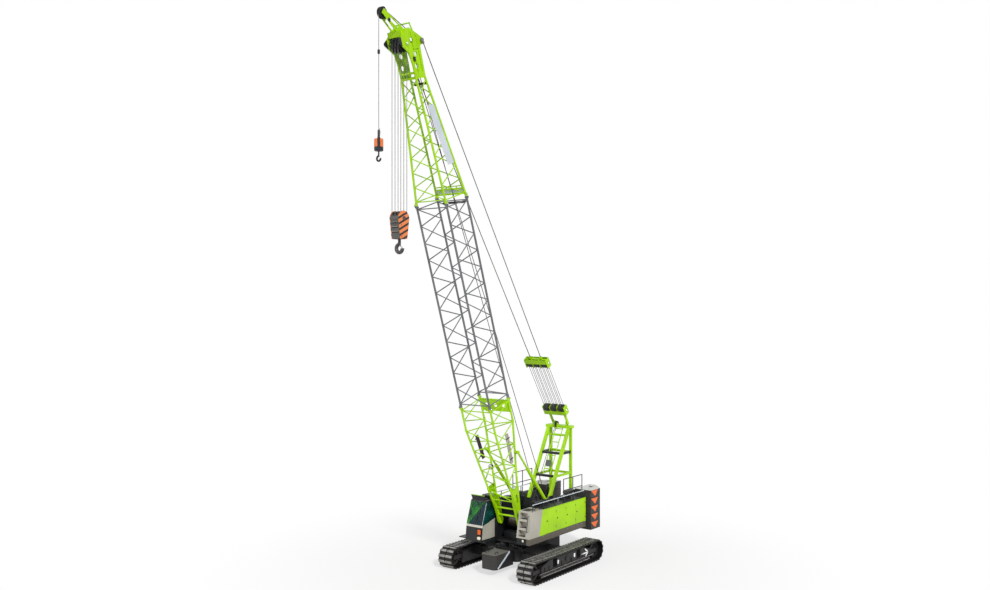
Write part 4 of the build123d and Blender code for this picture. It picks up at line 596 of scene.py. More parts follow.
@dataclass(frozen=True)
class Striped(Finish):
    """Enamel whose outer cheeks carry slanting stripes of a second colour.

    A point beyond cheek_y is striped where (z + slope x) / pitch has a fraction below share.
    """
    ground: str = "#000000"
    stripe: str = "#000000"
    cheek_y: float = 0.0
    pitch: float = 0.3
    slope: float = 0.0
    share: float = 0.4

    def painted(self, tree: Tree, place: Socket, patch: Socket) -> Socket:
        """Sets ground and stripes on both cheeks, with the plain colour between them.

        Args:
            tree: The node tree.
            place: The point's coordinates.
            patch: The patch noise.

        Returns:
            The colour of the paint.
        """
        plain = super().painted(tree, place, patch)
        slant = (self.slope / self.pitch, 0.0, 1 / self.pitch)
        part = worked(tree, "FRACT", measured(tree, "DOT_PRODUCT", place, slant))
        dark = worked(tree, "LESS_THAN", part, self.share)
        marked = mixed(tree, dark, rgba(self.ground), rgba(self.stripe))
        across = add_node(tree, "SeparateXYZ", {}, {0: place}).outputs[1]
        outside = worked(tree, "GREATER_THAN", worked(tree, "ABSOLUTE", across), self.cheek_y)
        return mixed(tree, outside, plain, marked)


@dataclass(frozen=True)
class Tread(Finish):
    """Track steel: painted shade in black between the lugs, worn grey on them.

    The height of a point over the loop is its distance from the line of length 2 half at
    middle_z; below reach it lies between the lugs.
    """
    gap: str = "#000000"
    half: float = 2.48
    middle_z: float = 0.49
    reach: float = 0.48

    def painted(self, tree: Tree, place: Socket, patch: Socket) -> Socket:
        """Sets the worn colour on the lugs and the painted shade below them.

        Args:
            tree: The node tree.
            place: The point's coordinates.
            patch: The patch noise.

        Returns:
            The colour of the steel.
        """
        worn = super().painted(tree, place, patch)
        split = add_node(tree, "SeparateXYZ", {}, {0: place}).outputs
        past = worked(tree, "SUBTRACT", worked(tree, "ABSOLUTE", split[0]), self.half)
        past = worked(tree, "MAXIMUM", past, 0.0)
        rise = worked(tree, "SUBTRACT", split[2], self.middle_z)
        flat = add_node(tree, "CombineXYZ", {}, {0: past, 1: rise}).outputs[0]
        high = worked(tree, "GREATER_THAN", measured(tree, "LENGTH", flat), self.reach)
        return mixed(tree, high, rgba(self.gap), worn)


@dataclass(frozen=True)
class Glazing(Finish):
    """Glass or clear plastic: a tinted film, partly see-through, under a sharp gloss."""
    alpha: float = 0.7
    bending: ClassVar[float] = 1.52

    def build(self) -> bpy.types.Material:
        """Makes a see-through shader with soft patches in its tint, which on the front pane are a
        painted reflection.

        Returns:
            The material.
        """
        material = bpy.data.materials.new(self.name)
        tree = clear_tree(material)
        place = add_node(tree, "TexCoord").outputs["Object"]
        tint = self.coloured(tree, place, noise(tree, place, self.patch_mm, self.patch_detail))
        shader = add_node(tree, "BsdfPrincipled", {}, {
            "Base Color": tint, "Roughness": self.rough, "Alpha": self.alpha, "IOR": self.bending,
            "Specular IOR Level": self.specular})
        add_node(tree, "OutputMaterial", {}, {"Surface": shader.outputs["BSDF"]})
        return material


# Sprayed lime enamel on welded steel: an even, glossy coat that rain has dulled a little in runs
LIME = Finish("lime_enamel", "#A6DA00", "#98C900", 0.36, coat=0.05, specular=0.22)
# The same enamel on the house, its flat roof painted black against glare
LIME_BLACK_ROOF = replace(LIME, name="lime_enamel_black_roof",
                          zones=(Zone(ALONG_Z, 2.775, FAR, "#1B1D1F"),))
# The boom head: lime, with painted shade in black on the plates' front ends round the sheaves,
# beside the black rope guards
HEAD = replace(LIME, name="lime_enamel_painted_shade_front",
               zones=(Zone((-0.94721, 0.0, 0.32061), -FAR, -1.03, "#22262A"),))
# Grey enamel on drawn tube: flat, with a dull sheen
GREY_TUBE = Finish("grey_enamel_tube", "#717376", "#606265", 0.42)
# Pale warm grey enamel on pressed sheet
PALE = Finish("pale_grey_enamel", "#B4B0A5", "#A5A196", 0.42)
# Black satin enamel of deck and machinery, with the brown-grey side beams below the doors
DECK = Finish("black_and_umber_enamel", "#1E2022", "#151718", 0.42,
              zones=(Zone(ALONG_Y, 1.4, FAR, "#5B554B"), Zone(ALONG_Y, -FAR, -1.4, "#5B554B")))
# Black satin enamel: deep, with a soft highlight along its edges
BLACK = Finish("black_satin_enamel", "#1F2123", "#16181A", 0.4)
# Black enamel on the cab's front, with the pale band under the window
CAB_FRONT = Finish("black_enamel_pale_band", "#232527", "#1A1C1E", 0.4,
                   zones=(Zone(ALONG_Z, 1.9, 2.0, "#C9C5BA"),))
# Pale enamel below the slanting window edge of the cab's sides, black window posts above it
CAB_SIDE = replace(PALE, name="pale_enamel_black_posts",
                   zones=(Zone((0.24869, 0.0, 0.96858), 2.405, FAR, "#17191B"),))
# Charcoal enamel on the undercarriage: nearly black, dusty towards the ground
CHARCOAL = Finish("charcoal_enamel", "#201F1F", "#171616", 0.5, runs=0.2, dust="#3C3A37",
                  dust_top=0.6, fleck="#353331", fleck_mm=90.0)
# Ballast castings: grey flanks, a painted highlight on their pale tops, and painted shade in black
# below the slanting brace's line, which covers the rear box whole
BALLAST = Finish("grey_ballast_painted_light_and_shade", "#353432", "#2A2927", 0.55, grain_mm=16.0,
                 grain_depth_mm=0.8, zones=(Zone(ALONG_Z, 0.94, FAR, "#6E6C67"),
                                            Zone((0.5613, 0.0, 0.8276), -FAR, 1.64, "#161616")))
# Painted cast iron of the counterweight: dark, matt, with a sand-mould grain and a painted
# highlight in near-white on its upper face
IRON = Finish("dark_cast_iron_painted_highlight_top", "#3F3D3C", "#343332", 0.6, grain_mm=16.0, grain_depth_mm=1.0,
              zones=(Zone(ALONG_Z, 3.07, FAR, "#DCDCDA"),))
# Rolled track steel: mid grey, rubbed dull, with brighter worn spots
SHOE_STEEL = Finish("worn_track_steel", "#979592", "#6B6966", 0.45, patch_mm=160.0, runs=0.1,
                    fleck="#A8A6A2", fleck_mm=45.0)
# The same steel on the lugs' flanks, with painted shade in black between them
BELT_STEEL = Tread("track_steel_painted_gap_shade", "#7E7C79", "#5A5856", 0.5, patch_mm=160.0, runs=0.1,
                   gap="#0D0D0C")
# Bright zinc plate on bolts and fittings
ZINC = Finish("zinc_plated_steel", "#BFC3C6", "#A3A8AB", 0.32, metal=0.75, patch_mm=80.0)
# The rails: black posts and upper rails, with a painted highlight in pale blue-white along the pipe
# at the roof's edge
RAIL = Finish("rail_black_painted_highlight_band", "#2C3033", "#22262A", 0.35, metal=0.2,
              zones=(Zone(ALONG_Z, 3.077, 3.125, "#C9D2D8"),))
# Galvanised wire rope: dull grey strands with grease between them
WIRE = Finish("galvanised_wire_rope", "#817F7D", "#5F5C59", 0.45, metal=0.45, patch_mm=300.0)
# Greased wire rope on the winches: brown-black
GREASED = Finish("greased_wire_rope", "#453C38", "#2E2725", 0.42, metal=0.2, patch_mm=300.0)
# Cast sheaves: black paint, uneven where ropes have rubbed it
SHEAVE = Finish("black_cast_sheave", "#232527", "#1A1B1D", 0.45, patch_mm=120.0)
# Orange enamel of the warning marks
ORANGE = Finish("orange_enamel", "#F07232", "#E26528", 0.42, patch_mm=300.0)
# Hook block: grey castings between orange cheeks with black slanting stripes
BLOCK = Striped("grey_block_striped_cheeks", "#5E5D5B", "#4C4B4A", 0.45, ground="#E8854E",
                stripe="#2C2A29", cheek_y=0.212, pitch=0.232, slope=0.5, share=0.4)
# Ball weight: orange in the middle, black below and above
WEIGHT = Finish("orange_and_black_weight", "#EE7D40", "#DE7034", 0.42,
                zones=(Zone(ALONG_Z, 0.0, 17.9, "#22282C"), Zone(ALONG_Z, 18.24, FAR, "#2A2C2E")))
# Hook steel, forged, scale left on, painted dark grey
FORGED = Finish("forged_dark_steel", "#565452", "#434140", 0.42, metal=0.35, patch_mm=140.0)
# Black moulded rubber: matt, with a fine grain
RUBBER = Finish("black_moulded_rubber", "#17181A", "#101112", 0.6, grain_mm=3.0)
# Seat cloth, woven, dark
SEAT_CLOTH = Finish("dark_seat_cloth", "#2C2D30", "#1F2023", 0.85, patch_mm=40.0, grain_mm=4.0,
                    grain_depth_mm=0.8)
# White enamel on the blank plates
WHITE = Finish("white_enamel_plate", "#F1F2F2", "#E4E6E7", 0.35)
# Pale blue-grey enamel of the long blank sign, a tone below white so that its edges show
SIGN = Finish("pale_blue_grey_enamel", "#CBD2DA", "#C0C8D1", 0.4)
# Tinted safety glass: dark green, clear enough to show the seat behind it
GLASS = Glazing("green_tinted_glass", "#0B2B24", "#12402F", 0.03, specular=0.1, alpha=0.6)
# The bonded outer panes: the front one with a painted reflection in bright green over its upper
# outer half, dark teal elsewhere
FRONT_PANE = Glazing("pane_painted_green_reflection", "#2C9B22", "#06222E", 0.03, patch_mm=650.0,
                     specular=0.15, alpha=0.66,
                     zones=(Zone((0.0, 0.8, -0.6), -2.45, FAR, "#0C2C38"),))
SIDE_PANE = Glazing("teal_pane", "#14564C", "#0A2630", 0.03, patch_mm=300.0, specular=0.15,
                    alpha=0.6)
# Amber and clear lamp lenses, moulded in acrylic
AMBER = Glazing("amber_acrylic_lens", "#F0702A", "#E2611C", 0.12, alpha=0.95)
CLEAR = Glazing("clear_acrylic_lens", "#F5F1DC", "#E6E0C8", 0.1, alpha=0.95)


# What every sub-assembly shares

def piece(name: str, body: str, finish: Finish, *surfaces: Surface,
          replaces: Sequence[str] = ()) -> bpy.types.Object:
    """Makes one object of the surfaces, with its place in its mesh.

    Args:
        name: The piece's name.
        body: The body that it rides on, or an empty string for none.
        finish: Its finish.
        surfaces: What it is made of.
        replaces: Nodes that it stands for.

    Returns:
        The object.
    """
    whole = joined(surfaces)
    mesh = bpy.data.meshes.new(name)
    faces = [row for group in whole.faces for row in group.tolist()]
    mesh.from_pydata(whole.points.tolist(), [], faces)
    mesh.shade_smooth()
    mesh.set_sharp_from_angle(angle=math.radians(SHARP_DEGREES))
    mesh.materials.append(finish.material())
    made = bpy.data.objects.new(name, mesh)
    bpy.context.scene.collection.objects.link(made)
    if body:
        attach(made, body)
    if replaces:
        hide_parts(*replaces)
    LOG.info("%s: %d points, %s", name, len(whole.points), finish.name)
    return made


def both_sides(*surfaces: Surface) -> list[Surface]:
    """The surfaces and their mirror images on the other side of the machine."""
    return [*surfaces, *(each.mirrored() for each in surfaces)]


@dataclass
class Assembly:
    """A sub-assembly: it dresses its own nodes, then adds its pieces."""
    finishes: ClassVar[dict[str, Finish]] = {}

    def build(self) -> None:
        """Dresses the nodes and adds the pieces."""
        self.dress(self.finishes)
        self.add_pieces()

    def dress(self, finishes: dict[str, Finish]) -> None:
        """Gives each named node its finish."""
        for name, finish in finishes.items():
            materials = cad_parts[name].data.materials
            materials.clear()
            materials.append(finish.material())

    def add_pieces(self) -> None:
        """Adds what the nodes don't hold."""


@dataclass
class Undercarriage(Assembly):
    """The car body between the tracks, with its ballast and the slewing ring."""
    finishes: ClassVar[dict[str, Finish]] = {
        "carbody_frame": CHARCOAL, "carbody_ballast": BALLAST, "slew_ring": CHARCOAL}
    flange_radius: float = 0.84
    flange_z: float = 1.04
    flange_bolts: int = 44
    ballast_face: float = 0.41
    ballast_top: float = 0.95
    eye_x: float = 2.2
    eye_width: float = 0.2
    eye_rise: float = 0.08
    brace_low: Span = (2.42, 0.34)
    brace_high: Span = (1.55, 0.93)

    def add_pieces(self) -> None:
        """Flange bolts, lifting eyes, braces beside the front ballast, control boxes and pipes."""
        places = rows(*circle(self.flange_radius, self.flange_bolts).T, self.flange_z)
        piece("flange_bolts", "undercarriage", ZINC, Facing.TOP.mount(bolt(0.013, 0.02), places))
        piece("ballast_eyes", "undercarriage", CHARCOAL, *self.eyes())
        piece("ballast_braces", "undercarriage", SIGN, *both_sides(self.brace()))
        piece("carbody_valves", "undercarriage", BLACK, *self.valves())
        piece("carbody_pipes", "undercarriage", FORGED, *both_sides(*self.pipes()))

    def eyes(self) -> list[Surface]:
        """Bent bars to lift the ballast by, two on each box."""
        low, top = self.ballast_top, self.ballast_top + self.eye_rise
        shapes = []
        for way in (-1, 1):
            near, far = way * self.eye_x, way * (self.eye_x + self.eye_width)
            for y in (-0.25, 0.25):
                points = [(near, y, low), (near, y, top), (far, y, top), (far, y, low)]
                shapes.append(pipe(points, 0.014, ALONG_Y, 0.03))
        return shapes

    def brace(self) -> Surface:
        """A flat bar that slants up the ballast's side."""
        outline = rounded(0.085, 0.02, 0.006)
        (x0, z0), (x1, z1) = self.brace_low, self.brace_high
        return bar((x0, self.ballast_face, z0), (x1, self.ballast_face, z1), outline, ALONG_Y)

    def valves(self) -> list[Surface]:
        """Control boxes on the car body in front of the ring."""
        return [box((0.95, -0.42, 1.0), (1.2, -0.12, 1.12)),
                box((0.98, 0.1, 1.0), (1.18, 0.4, 1.09)),
                box((-1.2, -0.3, 1.0), (-0.98, 0.3, 1.1))]

    def pipes(self) -> list[Surface]:
        """Bent steel pipes from the control boxes out over the front beam."""
        return [pipe([(1.1, 0.2 + 0.05 * k, 1.07), (1.15 + 0.03 * k, 0.2 + 0.05 * k, 1.13),
                      (1.05 + 0.03 * k, 0.7, 1.02), (1.0 + 0.03 * k, 0.76, 0.9)],
                     0.012, ALONG_X, 0.04)
                for k in range(3)]


class Side(Enum):
    """The two sides of the machine, with the sign of y."""
    LEFT = 1
    RIGHT = -1

    @property
    def word(self) -> str:
        """The side's name as the nodes spell it."""
        return self.name.lower()

    def placed(self, surface: Surface) -> Surface:
        """A surface that was made for the left, on this side."""
        return surface if self is Side.LEFT else surface.mirrored()


@dataclass
class Track(Assembly):
    """One track: the loop of shoes, its side frame and its wheels."""
    side: Side
    middle: float = 2.17
    loop_half: float = 2.48
    loop_radius: float = 0.414
    loop_z: float = 0.49
    shoe_plate: float = 0.034
    shoes: int = 58
    bolt_share: float = 0.96
    pad_share: float = 0.46
    pad_out: float = 0.070
    pad_height: float = 0.007
    bolt_rows: tuple[float, ...] = (-0.14, -0.085, 0.085, 0.14)
    face: float = 2.44
    cover_z: float = 0.64
    cover_y: float = 2.465
    guard: float = 2.406
    roller_z: float = 0.26
    roller_reach: float = 1.84
    rollers: int = 9
    ledge_top: float = 0.386
    plate_places: tuple[Span, ...] = ((0.71, 0.62), (-0.62, 0.64))
    rib_places: tuple[float, ...] = (1.75, 1.42, 0.42, -0.36, -1.3, -1.85)
    arrow_tail: float = -1.24
    arrow_tip: float = -1.78
    arrow_z: float = 0.54
    arrow_head: float = 0.19
    arrow_barb: float = 0.26
    arrow_stroke: float = 0.062

    def build(self) -> None:
        """Dresses the track's three nodes, then adds its pieces."""
        track = f"{self.side.word}_track"
        self.dress({f"{track}_belt": BELT_STEEL, f"{track}_frame": CHARCOAL,
                    f"{track}_wheels": CHARCOAL})
        self.add_pieces()

    def add_pieces(self) -> None:
        """Shoe pads, bolts, caps, bright strips of painted highlight, ribs and, on the left, the
        plates and the arrow.
        """
        self.add("shoe_pads", SHOE_STEEL, self.shoe_pads())
        self.add("shoe_bolts", FORGED, self.shoe_bolts())
        self.add("roller_caps", FORGED, *self.roller_caps())
        self.add("cover_bolts", FORGED, self.cover_bolts())
        # Bright strips along the ledge and the guard: a painted highlight
        self.add("painted_highlight_strips", SHOE_STEEL, *self.painted_highlight_strips())
        self.add("frame_ribs", CHARCOAL, *self.ribs())
        if self.side is Side.LEFT:
            self.add("side_plates", WHITE, *self.plates())

    def add(self, name: str, finish: Finish, *surfaces: Surface) -> None:
        """Adds a piece that rides on this track."""
        word = self.side.word
        shapes = [self.side.placed(each) for each in surfaces]
        piece(f"{word}_{name}", f"{word}_track", finish, *shapes)

    def loop(self, along: Array, out: float) -> tuple[Array, Array]:
        """Places on the loop of shoes and the way out from each.

        The loop is two straight runs of 2 loop_half and two half circles of loop_radius; along
        starts at the rear end of the upper run.

        Args:
            along: Distances along the loop.
            out: Height above the loop.

        Returns:
            The places and the outward directions, as (x, 0, z) rows.
        """
        run, arc = 2 * self.loop_half, np.pi * self.loop_radius
        part = np.mod(along, 2 * (run + arc))
        lower = part >= run + arc
        part = np.where(lower, part - run - arc, part)
        turn = np.pi / 2 - np.maximum(part - run, 0.0) / self.loop_radius
        x = np.minimum(part, run) - self.loop_half + 0 * turn
        sign = np.where(lower, -1.0, 1.0)
        away = np.stack([sign * np.cos(turn), 0 * turn, sign * np.sin(turn)], 1)
        middle = np.stack([sign * x, 0 * x, np.full_like(x, self.loop_z)], 1)
        return middle + (self.loop_radius + out) * away, away

    def on_shoes(self, share: float, out: float) -> tuple[Array, Array]:
        """A place on every shoe, at a share of its pitch, and the way out from it."""
        pitch = (4 * self.loop_half + 2 * np.pi * self.loop_radius) / self.shoes
        return self.loop((np.arange(self.shoes) + share) * pitch, out)

    def shoe_bolts(self) -> Surface:
        """Four bolts on the plain strip of each shoe."""
        places, away = self.on_shoes(self.bolt_share, self.shoe_plate)
        lines = np.array(self.bolt_rows)[:, None, None] * ALONG_Y + (0.0, self.middle, 0.0)
        origins = (places[None] + lines).reshape(-1, 3)
        away = np.tile(away, (len(self.bolt_rows), 1))
        across = np.broadcast_to(ALONG_Y, away.shape)
        return bolt(0.012, 0.012).scattered(origins, across, np.cross(away, across))

    def shoe_pads(self) -> Surface:
        """Two worn pads on each shoe's lug, drawn to a blunt point at their outer ends."""
        places, away = self.on_shoes(self.pad_share, self.pad_out)
        half = np.array([(0.018, -0.05), (0.28, -0.05), (0.376, -0.014),
                         (0.376, 0.014), (0.28, 0.05), (0.018, 0.05)])
        pads = joined([slab(half * (way, 1), self.pad_height, 0.002) for way in (1, -1)])
        across = np.broadcast_to(ALONG_Y, away.shape)
        return pads.scattered(places + (0.0, self.middle, 0.0), across, np.cross(away, across))

    def painted_highlight_strips(self) -> list[Surface]:
        """Bright steel strips along the frame's ledge and along the guard: a painted highlight on
        those edges.
        """
        y, ledge, guard = self.face + 0.045, self.ledge_top - 0.008, 0.2
        return [bar((-2.2, y, ledge), (2.2, y, ledge), rounded(0.012, 0.018, 0.004, 3), ALONG_Z),
                bar((-1.95, self.guard, guard), (1.95, self.guard, guard),
                    rounded(0.012, 0.03, 0.004, 3), ALONG_Z)]

    def roller_caps(self) -> list[Surface]:
        """A turned cap with a bolt on each roller's axle."""
        x = np.linspace(-self.roller_reach, self.roller_reach, self.rollers)
        places = rows(x, self.guard, self.roller_z)
        cap = turned([(0.048, 0.0), (0.048, 0.012), (0.04, 0.02)], 18)
        return [Facing.LEFT.mount(cap, places), Facing.LEFT.mount(bolt(0.018, 0.032), places)]

    def cover_bolts(self) -> Surface:
        """Bolts round the frame's cover."""
        x, z = circle(0.095, 8).T
        return Facing.LEFT.mount(bolt(0.013, 0.014), rows(x, self.cover_y, z + self.cover_z))

    def ribs(self) -> list[Surface]:
        """Upright stiffeners between the ledge and the frame's top, beside the sockets."""
        outline = np.array([(-0.012, 0.0), (0.012, 0.0), (0.012, 0.2), (-0.012, 0.2)])
        places = rows(np.array(self.rib_places), self.face, self.ledge_top)
        return [Facing.LEFT.mount(slab(outline, 0.03, 0.004), places)]

    def plates(self) -> list[Surface]:
        """Two blank plates and a plain arrow that points to the rear."""
        plate = slab(rounded(0.11, 0.17, 0.03), 0.004, 0.001)
        shapes = [Facing.LEFT.mount(plate, (x, self.face, z)) for x, z in self.plate_places]
        stroke = rounded(self.arrow_stroke, 0.006, 0.002, 3)
        tip = (self.arrow_tip, self.face, self.arrow_z)
        barb = self.arrow_tip + self.arrow_barb
        tails = [(self.arrow_tail, self.arrow_z), (barb, self.arrow_z + self.arrow_head),
                 (barb, self.arrow_z - self.arrow_head)]
        shapes += [bar((x, self.face, z), tip, stroke, ALONG_Y) for x, z in tails]
        return shapes


@dataclass
class House(Assembly):
    """The upper structure: turntable, machinery houses with doors, nose, winches and rails."""
    finishes: ClassVar[dict[str, Finish]] = {
        "turntable_frame": DECK, "left_house": LIME_BLACK_ROOF, "left_house_nose": PALE,
        "right_house": BLACK, "engine_block": BLACK, "winch_drums": BLACK, "handrails": RAIL,
        "right_walkway": BLACK, **{f"left_door_{k}": LIME for k in range(1, 5)},
        **{f"right_door_{k}": LIME for k in range(1, 3)}}
    door_face: float = 1.57
    latch_inset: float = 0.11
    latch_z: float = 2.21
    latch_floor: float = 1.558
    hinge_y: float = 1.575
    hinge_heights: tuple[float, ...] = (1.86, 2.54)
    roof: float = 2.8
    nose_low: Span = (1.67, 1.64)
    nose_high: Span = (1.44, 2.8)
    step_first: float = 1.715
    step_pitch: float = 0.37
    step_middle_y: float = 1.135
    drum_z: float = 1.93
    drum_radius: float = 0.25
    drum_half: float = 0.485
    drum_places: tuple[float, ...] = (0.12, -0.68, -2.25)
    rope_radius: float = 0.013
    tread_places: tuple[float, ...] = (-2.5, -1.68, -0.85, -0.02)

    def add_pieces(self) -> None:
        """Everything on the house, from the doors up to the roof and back to the winches."""
        for name in self.finishes:
            if "_door_" in name:
                self.door_fittings(name)
        piece("nose_treads", "house", RUBBER, *self.nose_treads())
        piece("nose_handle", "house", BLACK, *self.nose_handles())
        piece("nose_lamp", "house", BLACK, *self.nose_lamp())
        piece("nose_lamp_lens", "house", CLEAR, self.nose_lens())
        piece("roof_treads", "house", BLACK, *self.roof_treads())
        piece("roof_boxes", "house", BLACK, *self.roof_boxes())
        piece("exhaust", "house", FORGED, *self.exhaust())
        piece("air_cleaner", "house", BLACK, *self.air_cleaner())
        piece("deck_pipes", "house", ZINC, *self.deck_pipes())
        piece("deck_boxes", "house", BLACK, *self.deck_boxes())
        piece("drum_ropes", "house", GREASED, *self.drum_ropes())
        piece("skirt_bolts", "house", ZINC, *both_sides(self.skirt_bolts()))

    def door_fittings(self, door: str) -> None:
        """A latch in the door's recess and two hinge knuckles on its rear edge.

        Args:
            door: The door's node, which is its body's name too.
        """
        low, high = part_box(door)
        side = Side.LEFT if high[1] > 0 else Side.RIGHT
        latch = slab(rounded(0.074, 0.046, 0.008), 0.013, 0.003)
        lip = slab(rounded(0.05, 0.012, 0.004), 0.018, 0.003)
        x = high[0] - self.latch_inset
        shapes = [Facing.LEFT.mount(latch, (x, self.latch_floor, self.latch_z)),
                  Facing.LEFT.mount(lip, (x, self.latch_floor, self.latch_z - 0.012))]
        x, y = low[0], self.hinge_y
        knuckles = [pipe([(x, y, z - 0.05), (x, y, z + 0.05)], 0.01, ALONG_Y)
                    for z in self.hinge_heights]
        piece(f"{door}_latch", door, BLACK, *map(side.placed, shapes))
        piece(f"{door}_hinges", door, FORGED, *map(side.placed, knuckles))

    def nose_face(self, z: float) -> float:
        """The x of the nose's sloping front at a height."""
        (x0, z0), (x1, z1) = self.nose_low, self.nose_high
        return x0 + (x1 - x0) * (z - z0) / (z1 - z0)

    def nose_treads(self) -> list[Surface]:
        """Ribbed rubber treads in the three steps and on the nose's top."""
        shapes = []
        rib = slab(rounded(0.16, 0.012, 0.004, 3), 0.012, 0.003)
        for step in range(3):
            z = self.step_first + step * self.step_pitch
            x = self.nose_face(z) - 0.105
            y = self.step_middle_y + np.linspace(-0.17, 0.17, 12)
            shapes.append(Facing.TOP.mount(rib, rows(x, y, z)))
        top = slab(rounded(0.5, 0.4, 0.04), 0.006, 0.002)
        shapes.append(Facing.TOP.mount(top, (1.12, 1.12, self.roof)))
        return shapes

    def nose_handles(self) -> list[Surface]:
        """Bent grab bars: one along the outer edge of the nose's top, one beside the steps."""
        top, rise = self.roof, 0.11
        along = [(1.15, 1.5, top), (1.15, 1.5, top + rise),
                 (0.78, 1.5, top + rise), (0.78, 1.5, top)]
        high, low = (self.nose_face(2.62), 2.62), (self.nose_face(1.95), 1.95)
        side = [(high[0], 1.42, high[1]), (high[0] + 0.07, 1.42, high[1]),
                (low[0] + 0.07, 1.42, low[1]), (low[0], 1.42, low[1])]
        return [pipe(along, 0.016, ALONG_Y, 0.04), pipe(side, 0.014, ALONG_Y, 0.03)]

    def nose_lamp(self) -> list[Surface]:
        """A round work lamp on a bracket under the nose."""
        shell = turned([(0.03, -0.07), (0.06, -0.03), (0.066, 0.0), (0.062, 0.004)], 22)
        return [Facing.FRONT.mount(shell, (1.72, 1.25, 1.55)),
                box((1.66, 1.2, 1.58), (1.71, 1.3, 1.63), 0.004)]

    def nose_lens(self) -> Surface:
        """The domed lens of the work lamp."""
        dome = turned([(0.056, 0.0), (0.052, 0.008), (0.036, 0.015), (0.014, 0.018)], 22)
        return Facing.FRONT.mount(dome, (1.724, 1.25, 1.55))

    def roof_treads(self) -> list[Surface]:
        """Tread plates along both roofs: a thin plate with rows of slanting lozenges on it."""
        plate = slab(rounded(0.76, 0.4, 0.03), 0.005, 0.001)
        corners = np.array([(-0.02, -0.006), (0.014, -0.006), (0.02, 0.006), (-0.014, 0.006)])
        x, y = np.meshgrid(np.linspace(-0.34, 0.34, 12), np.linspace(-0.16, 0.16, 6))
        places = rows(x.ravel(), y.ravel(), 0.005)
        tread = joined([plate, Facing.TOP.mount(slab(corners, 0.004, 0.001), places)])
        along = np.array(self.tread_places)
        return [Facing.TOP.mount(tread, rows(along, y, self.roof)) for y in (1.28, -1.28)]

    def roof_boxes(self) -> list[Surface]:
        """Hatches, a battery box and a fan cowl on the roofs, with raised louvres."""
        louvre = slab(rounded(0.03, 0.22, 0.008, 3), 0.014, 0.005)
        x = np.linspace(-2.35, -1.75, 9)
        cowl = box((-2.45, 0.9, self.roof), (-1.65, 1.06, self.roof + 0.16), 0.02)
        slats = Facing.TOP.mount(louvre, rows(x, -1.02, self.roof + 0.1))
        return [cowl, slats,
                box((-2.45, -1.14, self.roof), (-1.65, -0.88, self.roof + 0.1), 0.015),
                box((-0.6, 0.88, self.roof), (-0.1, 1.06, self.roof + 0.2), 0.015),
                box((-1.35, 0.88, self.roof), (-0.85, 1.04, self.roof + 0.12), 0.015),
                box((-1.3, -1.14, self.roof), (-0.7, -0.88, self.roof + 0.24), 0.015),
                box((-2.8, -1.3, self.roof), (-2.52, -0.9, self.roof + 0.2), 0.02),
                box((-0.45, -1.2, self.roof), (0.1, -0.9, self.roof + 0.16), 0.02)]

    def exhaust(self) -> list[Surface]:
        """A silencer that lies on the left roof and its tail pipe, bent outwards."""
        drum = turned([(0.06, 0.0), (0.1, 0.02), (0.1, 0.56), (0.06, 0.58)], 24)
        start = np.array([(-2.6, 0.98, 3.08)])
        lying = drum.scattered(start, ALONG_Y, ALONG_Z)
        tail = [(-2.1, 0.98, 3.08), (-1.92, 0.98, 3.08), (-1.92, 1.12, 3.08)]
        return [lying, pipe(tail, 0.045, ALONG_Z, 0.06, 16),
                box((-2.5, 0.94, 2.96), (-2.46, 1.02, 2.99), 0.004),
                box((-2.2, 0.94, 2.96), (-2.16, 1.02, 2.99), 0.004)]

    def air_cleaner(self) -> list[Surface]:
        """A ribbed canister on the front of the left roof, with its bent intake pipe."""
        height = np.linspace(0.0, 0.46, 40)
        radius = 0.12 + 0.004 * np.sign(np.sin(height * 2 * np.pi / 0.06))
        shell = turned([(0.08, -0.02), *zip(radius, height), (0.08, 0.48)], 26)
        start = np.array([(0.12, 1.02, 2.97)])
        lying = shell.scattered(start, ALONG_Y, ALONG_Z)
        intake = [(0.3, 1.02, 3.05), (0.3, 1.02, 3.25), (0.42, 1.02, 3.33)]
        return [lying, pipe(intake, 0.05, ALONG_Y, 0.07, 16),
                box((0.16, 0.92, 2.8), (0.22, 1.12, 2.88), 0.006),
                box((0.48, 0.92, 2.8), (0.54, 1.12, 2.88), 0.006)]

    def deck_pipes(self) -> list[Surface]:
        """Steel pipes that run along the deck between the webs and turn up to the winches."""
        shapes = []
        for number in range(4):
            y = -0.3 + 0.2 * number
            points = [(0.62, y, 1.31), (0.62, y, 1.36), (-0.25, y, 1.36), (-0.25, y, 1.5)]
            shapes.append(pipe(points, 0.018, ALONG_Y, 0.03))
        return shapes

    def deck_boxes(self) -> list[Surface]:
        """Valve banks on the deck behind the boom's feet and between the drums."""
        return [box((0.5, -0.42, 1.3), (0.85, 0.42, 1.62), 0.015),
                box((-0.35, -0.3, 1.3), (-0.2, 0.4, 1.55), 0.01),
                box((-1.7, -0.45, 1.3), (-1.2, 0.45, 1.75), 0.02)]

    def drum_ropes(self) -> list[Surface]:
        """Rope wound on each drum: its radius bulges by half a rope, once for each turn."""
        turns = int(self.drum_half / self.rope_radius)
        across = np.linspace(-self.drum_half, self.drum_half, turns * 4 + 1)
        bulge = np.abs(np.cos(np.linspace(0, turns * np.pi, turns * 4 + 1)))
        profile = np.column_stack([self.drum_radius + self.rope_radius * (1 + bulge), across])
        wound = turned(profile, 36)
        return [Facing.LEFT.mount(wound, (x, 0.0, self.drum_z)) for x in self.drum_places]

    def skirt_bolts(self) -> Surface:
        """A row of bolts along the side beam."""
        places = rows(np.linspace(-2.6, 0.6, 9), self.door_face, 1.58)
        return Facing.LEFT.mount(bolt(0.011, 0.008), places)


